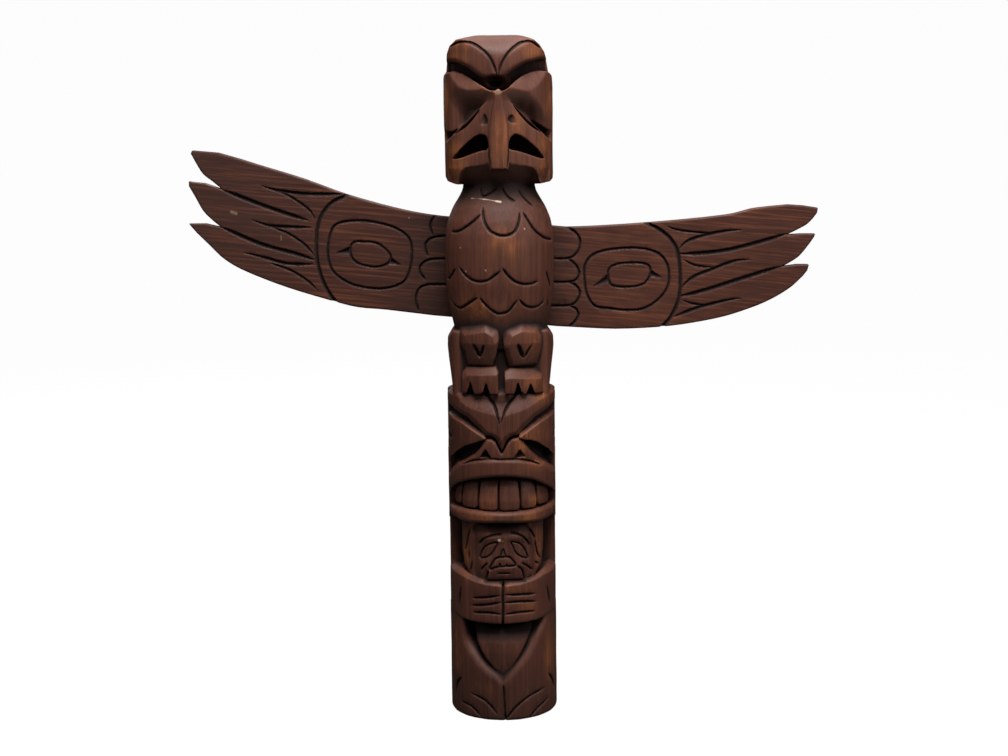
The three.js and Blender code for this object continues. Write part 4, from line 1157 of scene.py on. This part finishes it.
# %% Cut the oval joints, their inner eyes and the round feathers
OVALS = [
    [(54.4, 7), (60.6, 14.6), (75.3, 18.9), (91, 20), (101.8, 17), (107.7, 9), (108.6, -2.4), (103.4, -11.6),
     (94.7, -18.2), (85, -20.2), (73, -20.2), (63.2, -19.4), (57.4, -12.6), (54.8, -2.6)],
    [(-109.6, 13.4), (-105.6, 19), (-94.8, 21.8), (-83.3, 22), (-69.7, 19.7), (-60, 14), (-57, 5.2),
     (-57.4, -6.2), (-61.4, -15.2), (-74.3, -20.2), (-91.8, -19.5), (-103.7, -14.2), (-109, -7.4),
     (-110.9, 2.6)],
]
wing_strokes(OVALS, 2.0, 1.7, closed=True)
INNER_EYES = [
    [(69.6, 4.6), (74.4, 8.6), (84, 10.4), (92.4, 10.5), (96, 8.2), (96.2, 2.6), (92.6, -2.6), (84, -5.2),
     (73.6, -5.4), (70.4, -2)],
    [(-96.4, 4.6), (-94, 8.2), (-88, 8.9), (-80.4, 8.7), (-74.4, 5.6), (-70.4, 1.2), (-71.8, -3.6),
     (-79.2, -6.6), (-89.6, -5.6), (-95.2, -1.9)],
]
wing_strokes(INNER_EYES, 1.8, 1.5, closed=True)
for corner in ([(95.8, 7.4), (104, 2.8), (96.4, 2.4)], [(70, 2.6), (61, -6.8), (71, -3)],
               [(-96, 5.4), (-105.2, 0.2), (-97, 0.4)], [(-70.4, 0.6), (-63.6, -3.8), (-71, -4)]):
    chip = polygon_distance(corner, along[:, None], rise_axis[None, :])
    wing_cuts = np.maximum(wing_cuts, np.clip(0.35 - chip, 0, 1.9) * 1.1)
ROUND_FEATHERS = [
    [(36, 30.6), (41, 29.2), (46.4, 26.4), (49.6, 21.6), (49, 14.8), (44.4, 10.2), (36, 8.8), (30, 8.8)],
    [(42.6, 9.8), (47.4, 6.6), (50.4, 2.8), (50.8, -1.2), (47.4, -4.8), (37.4, -6.2), (30, -6)],
    [(44.4, -5.4), (49.4, -7.2), (52.4, -11), (51.8, -16), (48, -20), (38.8, -21.4), (30, -21.6)],
    [(46.4, -20.6), (51, -22.4), (53, -26.4), (50.8, -31), (47.6, -34)],
    [(-43.6, 30), (-46.2, 25.4), (-46.2, 20.8), (-44.2, 16.6)],
    [(-30, 17.2), (-38, 16.8), (-45, 15), (-48.4, 11.4), (-48.2, 6.8), (-46.2, 3)],
    [(-30, 2.8), (-37.4, 2.4), (-45.4, 1), (-50.4, -2.8), (-50.8, -7.4), (-47, -12)],
    [(-30, -13.6), (-38, -14.4), (-46.3, -15.5), (-51, -19), (-52, -26), (-49.4, -33)],
]
wing_strokes(ROUND_FEATHERS, 2.0, 1.7, taper=2)
print("board map holds cuts down to", round(float(wing_cuts.max()), 1), "mm")

# %% Skin the board


def carve_board():
    shape = polygon_distance(wings_outline, along[:, None], rise_axis[None, :])[:, None, :]
    from_middle = depth_axis[None, :, None] - BOARD_THICK / 2
    body = soft_max(shape, np.abs(from_middle) - BOARD_THICK / 2, 1.1)
    front_half = np.clip(-from_middle / 1.5, 0, 1)
    return (body + wing_cuts[:, None, :] * front_half).astype(np.float32)


board_field = carve_board()
board_corner = (along[0], depth_axis[0], rise_axis[0])
wings = skin_of(board_field, board_corner, BOARD_CELL, "wing_pair")
finish_mesh(wings, (0.022, 0.012, 0.009), 0.00010, 5, wing_finish, WING_FACES)
board_places = mesh_places(wings.data)
cells = (board_places - np.array(board_corner)) / BOARD_CELL
worn, stain_and_shade, proud = wear_values(board_field, cells, BOARD_CELL)
map_u = np.round(cells[:, 0]).astype(int).clip(0, len(along) - 1)
map_v = np.round(cells[:, 2]).astype(int).clip(0, len(rise_axis) - 1)
bx, by, _ = board_places.T
in_front = ramp(-by, -BOARD_THICK * 0.6, -BOARD_THICK * 0.4)
beside_cut = widened(wing_cuts, 2, 2)[map_u, map_v] * in_front
# The board is darker beside the pole, and its left tip carries painted shade, for the weaker light there.
beside_pole = ramp(-np.abs(bx + 6), -74, -30) * 0.5
left_tip_shade = ramp(-bx, 90, 190) * 0.3
for name, values in (
        # The cuts are dark to their rims: pooled stain and painted shade.
        ("knife_cut", ramp(wing_cuts[map_u, map_v], 0.0, 0.45) * in_front),
        ("worn", 0.5 * worn * (1 - 0.95 * ramp(beside_cut, 0.05, 0.5))),
        ("proud", proud),
        ("stain_and_shade", np.maximum(stain_and_shade, np.maximum(beside_pole, left_tip_shade) * in_front)),
        ("dust_and_sheen", ramp(facing_up(wings.data), 0.5, 0.9) * 0.1),
        ("rubbed", np.exp(-((bx - 95) / 70) ** 2) * 0.8 * in_front)):
    keep_values(wings.data, name, values)
# The level frame stays on the mesh, so that the grain can follow the board and not the room.
grain_frame = wings.data.attributes.new("board_place", "FLOAT_VECTOR", "POINT")
grain_frame.data.foreach_set("vector", (board_places * MM).astype(np.float32).ravel())
del board_field

# %% Turn the board to its place
place = np.array(board_places)
place[:, 0] = board_places[:, 0] * untilt[0, 0] + board_places[:, 2] * untilt[1, 0]
place[:, 2] = board_places[:, 0] * untilt[0, 1] + board_places[:, 2] * untilt[1, 1]
place[:, 1] += BOARD_FRONT
place[:, 2] += BOARD_MIDDLE
wings.data.vertices.foreach_set("co", (place * MM).astype(np.float32).ravel())
wings.data.update()
print("wings reach", (place.min(0)).round(1), "to", (place.max(0)).round(1), "mm")

# %% [markdown]
# ## The finish: stained cedar
# Cedar has a fine, straight grain. A dark reddish-brown stain was brushed over it, pooled in the cuts, and
# was rubbed through on the edges, where the wood shows orange. A thin satin varnish lies on top. Painted
# shade darkens cuts and hollows, and a painted sheen lightens faces that look up. The grain is a node
# group used by both woods, turned upright on the pole and sideways on the board.

# %% Small helpers for shader nodes


def math_node(operation, a, b=None, clamp=False):
    """One step of arithmetic. Each of a and b is a socket or a number; the tree is read from a socket."""
    tree = next(value.id_data for value in (a, b) if isinstance(value, bpy.types.NodeSocket))
    node = new_node(tree, "ShaderNodeMath", {"operation": operation, "use_clamp": clamp})
    for index, value in enumerate((a, b)):
        if isinstance(value, bpy.types.NodeSocket):
            tree.links.new(value, node.inputs[index])
        elif value is not None:
            node.inputs[index].default_value = value
    return node.outputs["Value"]


def times(a, b, clamp=False):
    return math_node("MULTIPLY", a, b, clamp)


def plus(a, b):
    return math_node("ADD", a, b)


def ramp_node(value, low, high):
    tree = value.id_data
    node = new_node(tree, "ShaderNodeMapRange", {"interpolation_type": "SMOOTHSTEP"},
                    {"From Min": low, "From Max": high})
    tree.links.new(value, node.inputs["Value"])
    return node.outputs["Result"]


def mix_colours(share, a, b):
    """A colour between a and b; the share is a socket."""
    node = new_node(share.id_data, "ShaderNodeMix", {"data_type": "RGBA"})
    sockets = {s.identifier: s for s in node.inputs}
    for name, value in (("Factor_Float", share), ("A_Color", a), ("B_Color", b)):
        if isinstance(value, bpy.types.NodeSocket):
            share.id_data.links.new(value, sockets[name])
        else:
            sockets[name].default_value = value
    return next(s for s in node.outputs if s.identifier == "Result_Color")


def colour(red, green, blue):
    """A colour given as it looks on a screen, from 0 to 255, made linear for the shader."""
    def linear(c):
        c = c / 255
        return c / 12.92 if c <= 0.04045 else ((c + 0.055) / 1.055) ** 2.4
    return (linear(red), linear(green), linear(blue), 1.0)


# %% The grain group
GRAIN_OUTPUTS = ("Fibre", "Growth Line", "Streak", "Blotch", "Patch", "Height")


def make_grain_group():
    """Fine fibres, growth lines and broad blotches. The grain runs along the input's Z."""
    tree = bpy.data.node_groups.new("cedar_grain", "ShaderNodeTree")
    add_socket(tree, "Place", "NodeSocketVector")
    add_socket(tree, "Line Spacing", "NodeSocketFloat", 0.0035)
    for name in GRAIN_OUTPUTS:
        add_socket(tree, name, "NodeSocketFloat", output=True)
    inputs = tree.nodes.new("NodeGroupInput")
    outputs = tree.nodes.new("NodeGroupOutput")
    split = tree.nodes.new("ShaderNodeSeparateXYZ")
    tree.links.new(inputs.outputs["Place"], split.inputs["Vector"])

    def noise(scale, detail, rough):
        stretch = new_node(tree, "ShaderNodeVectorMath", {"operation": "MULTIPLY"}, {1: scale})
        texture = new_node(tree, "ShaderNodeTexNoise", {},
                           {"Scale": 1.0, "Detail": detail, "Roughness": rough})
        tree.links.new(inputs.outputs["Place"], stretch.inputs[0])
        tree.links.new(stretch.outputs["Vector"], texture.inputs["Vector"])
        return texture.outputs["Fac"]

    fibre = noise((1700, 1700, 42), 3.0, 0.6)
    streak = noise((420, 420, 9), 3.0, 0.55)
    long_streak = ramp_node(noise((600, 600, 15), 3.0, 0.65), 0.48, 0.67)
    blotch = noise((34, 34, 13), 3.0, 0.5)
    wander = noise((30, 30, 7), 2.0, 0.5)
    patch = noise((62, 62, 38), 4.0, 0.62)
    # Growth rings are shells around a pith that lies off to one side of the cut wood.
    pith_x = math_node("SUBTRACT", split.outputs["X"], 0.11)
    pith_y = math_node("SUBTRACT", split.outputs["Y"], 0.31)
    ring_radius = math_node("SQRT", plus(times(pith_x, pith_x), times(pith_y, pith_y)))
    bent = plus(ring_radius, times(wander, 0.009))
    rings = math_node("FRACT", math_node("DIVIDE", bent, inputs.outputs["Line Spacing"]))
    peak = math_node("ABSOLUTE", math_node("SUBTRACT", rings, 0.5))
    line = times(ramp_node(peak, 0.38, 0.5), ramp_node(streak, 0.38, 0.62))
    mixed = plus(times(fibre, 0.55), times(streak, 0.45))
    height = plus(times(mixed, 0.8), times(line, 0.3))
    for value, name in zip((mixed, line, long_streak, blotch, patch, height), GRAIN_OUTPUTS):
        tree.links.new(value, outputs.inputs[name])
    return tree


grain_group = make_grain_group()
print("grain group has", len(grain_group.nodes), "nodes")

# %% Pale marks left in the finish


def make_mark_group():
    """A mask for a small bare mark: a short line of a given half width between two places."""
    tree = bpy.data.node_groups.new("bare_mark", "ShaderNodeTree")
    for name in ("Place", "From", "To"):
        add_socket(tree, name, "NodeSocketVector")
    add_socket(tree, "Half Width", "NodeSocketFloat", 0.0005)
    add_socket(tree, "Mask", "NodeSocketFloat", output=True)
    inputs = tree.nodes.new("NodeGroupInput")
    outputs = tree.nodes.new("NodeGroupOutput")

    def vector(operation, a, b=None):
        node = new_node(tree, "ShaderNodeVectorMath", {"operation": operation})
        tree.links.new(a, node.inputs[0])
        if b is not None:
            tree.links.new(b, node.inputs[1])
        return node.outputs["Value" if operation in ("DOT_PRODUCT", "LENGTH") else "Vector"]

    along_mark = vector("SUBTRACT", inputs.outputs["To"], inputs.outputs["From"])
    offset = vector("SUBTRACT", inputs.outputs["Place"], inputs.outputs["From"])
    share = math_node("DIVIDE", vector("DOT_PRODUCT", offset, along_mark),
                      vector("DOT_PRODUCT", along_mark, along_mark), clamp=True)
    step = new_node(tree, "ShaderNodeVectorMath", {"operation": "SCALE"})
    tree.links.new(along_mark, step.inputs[0])
    tree.links.new(share, step.inputs["Scale"])
    distance = vector("LENGTH", vector("SUBTRACT", offset, step.outputs["Vector"]))
    share_of_width = math_node("DIVIDE", distance, inputs.outputs["Half Width"])
    mask = math_node("SUBTRACT", 1.0, ramp_node(share_of_width, 0.6, 1.1))
    tree.links.new(mask, outputs.inputs["Mask"])
    return tree


mark_group = make_mark_group()
print("mark group has", len(mark_group.nodes), "nodes")

# %% Build the cedar finish


def build_cedar(material, place, spacing, tones, shares, roughness, marks):
    """Stained cedar. tones and shares are dictionaries: the colours, and how strongly each effect shows."""
    material.use_nodes = True
    tree = material.node_tree
    tree.nodes.clear()
    out = tree.nodes.new("ShaderNodeOutputMaterial")
    shader = new_node(tree, "ShaderNodeBsdfPrincipled", {}, {"Specular IOR Level": 0.4})
    tree.links.new(shader.outputs["BSDF"], out.inputs["Surface"])
    grain = new_node(tree, "ShaderNodeGroup", {"node_tree": grain_group}, {"Line Spacing": spacing})
    tree.links.new(place(tree), grain.inputs["Place"])
    worn, stain_and_shade, proud, knife, rubbed, dust_and_sheen = (
        new_node(tree, "ShaderNodeAttribute", {"attribute_name": name}).outputs["Fac"]
        for name in ("worn", "stain_and_shade", "proud", "knife_cut", "rubbed", "dust_and_sheen"))

    bare = tones["bare"]
    fibres = ramp_node(grain.outputs["Fibre"], 0.35, 0.68)
    blotch = ramp_node(grain.outputs["Blotch"], 0.35, 0.68)
    base = mix_colours(fibres, tones["stain"], tones["light"])
    base = mix_colours(times(blotch, 0.45), base, tones["light"])
    base = mix_colours(times(grain.outputs["Streak"], shares["streak"]), base, bare)
    base = mix_colours(times(grain.outputs["Growth Line"], shares["line"]), base, bare)
    # Wear shows first where an edge is proud, and breaks up along the fibres.
    broken = ramp_node(grain.outputs["Patch"], 0.40, 0.62)
    ragged = times(worn, plus(0.25, broken))
    edges = ramp_node(plus(ragged, times(proud, 0.3)), 0.2, 1.3)
    base = mix_colours(times(edges, shares["edge"]), base, bare)
    threads = times(plus(0.35, broken), plus(0.4, fibres))
    base = mix_colours(times(rubbed, times(threads, shares["rubbed"]), clamp=True), base, bare)
    # Faces that look up take a paler tone: partly dust, partly a painted sheen.
    sheen_and_dust_mask = times(dust_and_sheen, plus(0.5, times(blotch, 0.5)))
    base = mix_colours(times(sheen_and_dust_mask, shares["sheen_and_dust"]), base, tones["sheen_and_dust"])
    # Stain pooled in cuts and hollows, and painted shade, darken the colour.
    pooled_stain_and_shade = math_node("MAXIMUM", stain_and_shade, knife)
    base = mix_colours(times(pooled_stain_and_shade, 0.93), base, tones["dark"])
    for start, end, half_width, strength in marks:
        mark = new_node(tree, "ShaderNodeGroup", {"node_tree": mark_group},
                        {"From": start, "To": end, "Half Width": half_width})
        tree.links.new(object_place(tree), mark.inputs["Place"])
        base = mix_colours(times(mark.outputs["Mask"], strength), base, PALE)
    tree.links.new(base, shader.inputs["Base Color"])

    # The varnish is duller on the fibres and where stain has pooled or shade is painted.
    gloss = plus(plus(roughness, times(fibres, 0.10)), times(pooled_stain_and_shade, 0.35))
    tree.links.new(gloss, shader.inputs["Roughness"])
    bump = new_node(tree, "ShaderNodeBump", {}, {"Strength": 0.35, "Distance": 0.00025})
    tree.links.new(grain.outputs["Height"], bump.inputs["Height"])
    tree.links.new(bump.outputs["Normal"], shader.inputs["Normal"])


def object_place(tree):
    return tree.nodes.new("ShaderNodeTexCoord").outputs["Object"]


def board_place(tree):
    """The board's level frame, turned so that the grain runs along it."""
    kept = new_node(tree, "ShaderNodeAttribute", {"attribute_name": "board_place"})
    turn = new_node(tree, "ShaderNodeMapping", {}, {"Rotation": (0, math.radians(90), 0)})
    tree.links.new(kept.outputs["Vector"], turn.inputs["Vector"])
    return turn.outputs["Vector"]


# %% Finish the pole and the wings
PALE = colour(226, 200, 172)
ROUGHNESS = 0.50
POLE_TONES = {"dark": colour(31, 20, 18), "stain": colour(78, 44, 35), "light": colour(108, 63, 48),
              "bare": colour(164, 98, 56), "sheen_and_dust": colour(132, 100, 88)}
WING_TONES = POLE_TONES | {"stain": colour(68, 38, 31), "light": colour(86, 49, 38),
                           "bare": colour(148, 86, 58)}

# Each bare mark has its two ends, half its width in metres and its strength.
POLE_MARKS = [
    (SCRATCH[0], SCRATCH[1], 0.0004, 0.50), (SCRATCH[1], SCRATCH[2], 0.0005, 0.65),
    (SCRATCH[2], SCRATCH[3], 0.0008, 0.95), (NAIL_HOLE[0], NAIL_HOLE[0], 0.0011, 1.0),
    (NAIL_HOLE[1], NAIL_HOLE[2], 0.0003, 0.30), (BEAK_TIP, BEAK_TIP, 0.0022, 0.20),
    *[(fleck, fleck, 0.0007, 0.45) for fleck in FLECKS],
]


def on_board(x, z, y=0.0):
    """A place in metres on the board's front, or y millimetres behind it."""
    return (x * MM, (BOARD_FRONT + y) * MM, z * MM)


WING_MARKS = [
    (on_board(-171, 322.4), on_board(-168, 321.4), 0.0011, 0.22),
    (on_board(-57.7, 317.4), on_board(-57.7, 317.4), 0.0006, 0.30),
    (on_board(-139.8, 307), on_board(-139.8, 304), 0.0004, 0.18),
    (on_board(-195.4, 341.74, 1.0), on_board(-180.62, 338.68, 1.0), 0.0008, 0.40),
]
build_cedar(pole_finish, object_place, 0.0021, POLE_TONES,
            {"line": 0.10, "streak": 0.10, "edge": 0.42, "rubbed": 0.70, "sheen_and_dust": 0.55},
            ROUGHNESS, POLE_MARKS)
build_cedar(wing_finish, board_place, 0.0026, WING_TONES,
            {"line": 0.10, "streak": 0.46, "edge": 0.12, "rubbed": 0.22, "sheen_and_dust": 0.30},
            ROUGHNESS, WING_MARKS)
print("materials:", [m.name for m in (pole_finish, wing_finish)])

# %% [markdown]
# ## Give each piece to its body
# Both pieces belong to the one body of the frame. Each stands for its plain solid.

# %% Ride and replace
for piece, node, slot in ((pole, "pole", "stained_cedar_pole"),
                          (wings, "wing_board", "stained_cedar_wings")):
    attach(piece, "root")
    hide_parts(node)
    print(piece.name, "stands for", node)

# %% [markdown]
# ## Floor and light
# The object stands on pale paper that curves up all the way round, so that every side is seen against the
# same even tone. Soft light comes mostly from above and in front, which leaves the undersides of lips and
# brows dark, as a carver means them to be.

# %% Lay the paper sweep


def make_sweep():
    profile = [(0.0, 0.0), (1.9, 0.0), (2.15, 0.04), (2.36, 0.15), (2.5, 0.34), (2.56, 0.6), (2.58, 2.4)]
    turns = 64
    verts = [(0, 0, 0)]
    faces = []
    for radius, height in profile[1:]:
        for i in range(turns):
            angle = 2 * math.pi * i / turns
            verts.append((radius * math.cos(angle), radius * math.sin(angle), height))
    for i in range(turns):
        faces.append((0, 1 + i, 1 + (i + 1) % turns))
    for ring in range(len(profile) - 2):
        for i in range(turns):
            a = 1 + ring * turns + i
            b = 1 + ring * turns + (i + 1) % turns
            faces.append((a, a + turns, b + turns, b))
    mesh = bpy.data.meshes.new("paper_sweep")
    mesh.from_pydata(verts, [], faces)
    mesh.polygons.foreach_set("use_smooth", np.ones(len(mesh.polygons), bool))
    sweep = bpy.data.objects.new("paper_sweep", mesh)
    bpy.context.scene.collection.objects.link(sweep)
    paper = bpy.data.materials.new("pale_paper")
    paper.use_nodes = True
    shader = paper.node_tree.nodes["Principled BSDF"]
    shader.inputs["Base Color"].default_value = (0.06, 0.06, 0.06, 1)
    shader.inputs["Roughness"].default_value = 0.9
    shader.inputs["Specular IOR Level"].default_value = 0.1
    # The paper itself shines, so that it stays white without more lamps on the carving.
    shader.inputs["Emission Color"].default_value = (1, 1, 1, 1)
    seen = paper.node_tree.nodes.new("ShaderNodeLightPath")
    glow = times(seen.outputs["Is Camera Ray"], 0.97)
    paper.node_tree.links.new(glow, shader.inputs["Emission Strength"])
    mesh.materials.append(paper)
    print("paper reaches", profile[-1], "metres out and up")


make_sweep()

# %% Hang the lights


def soft_light(name, place, aim, size, power):
    data = bpy.data.lights.new(name, "AREA")
    data.shape = "DISK"
    data.size = size
    data.energy = power
    lamp = bpy.data.objects.new(name, data)
    lamp.location = place
    lamp.rotation_euler = (Vector(aim) - Vector(place)).to_track_quat("-Z", "Y").to_euler()
    bpy.context.scene.collection.objects.link(lamp)


middle = (0, 0, HEIGHT * MM * 0.6)
for name, place, size, power in (
        ("top", (0.06, -0.42, 1.06), 0.5, 9.2), ("high_back", (0.1, 0.35, 1.2), 0.7, 3.5),
        ("left", (-1.2, -0.6, 0.8), 0.7, 1.7), ("right", (1.2, -0.6, 0.8), 0.7, 3.9),
        ("behind", (-0.4, 1.3, 0.8), 0.9, 3.0)):
    soft_light(name, place, middle, size, power)

world = bpy.data.worlds.new("even_sky")
world.use_nodes = True
background = world.node_tree.nodes["Background"]
background.inputs["Color"].default_value = (1, 1, 1, 1)
background.inputs["Strength"].default_value = 0.15
bpy.context.scene.world = world
bpy.context.scene.view_settings.view_transform = "Standard"
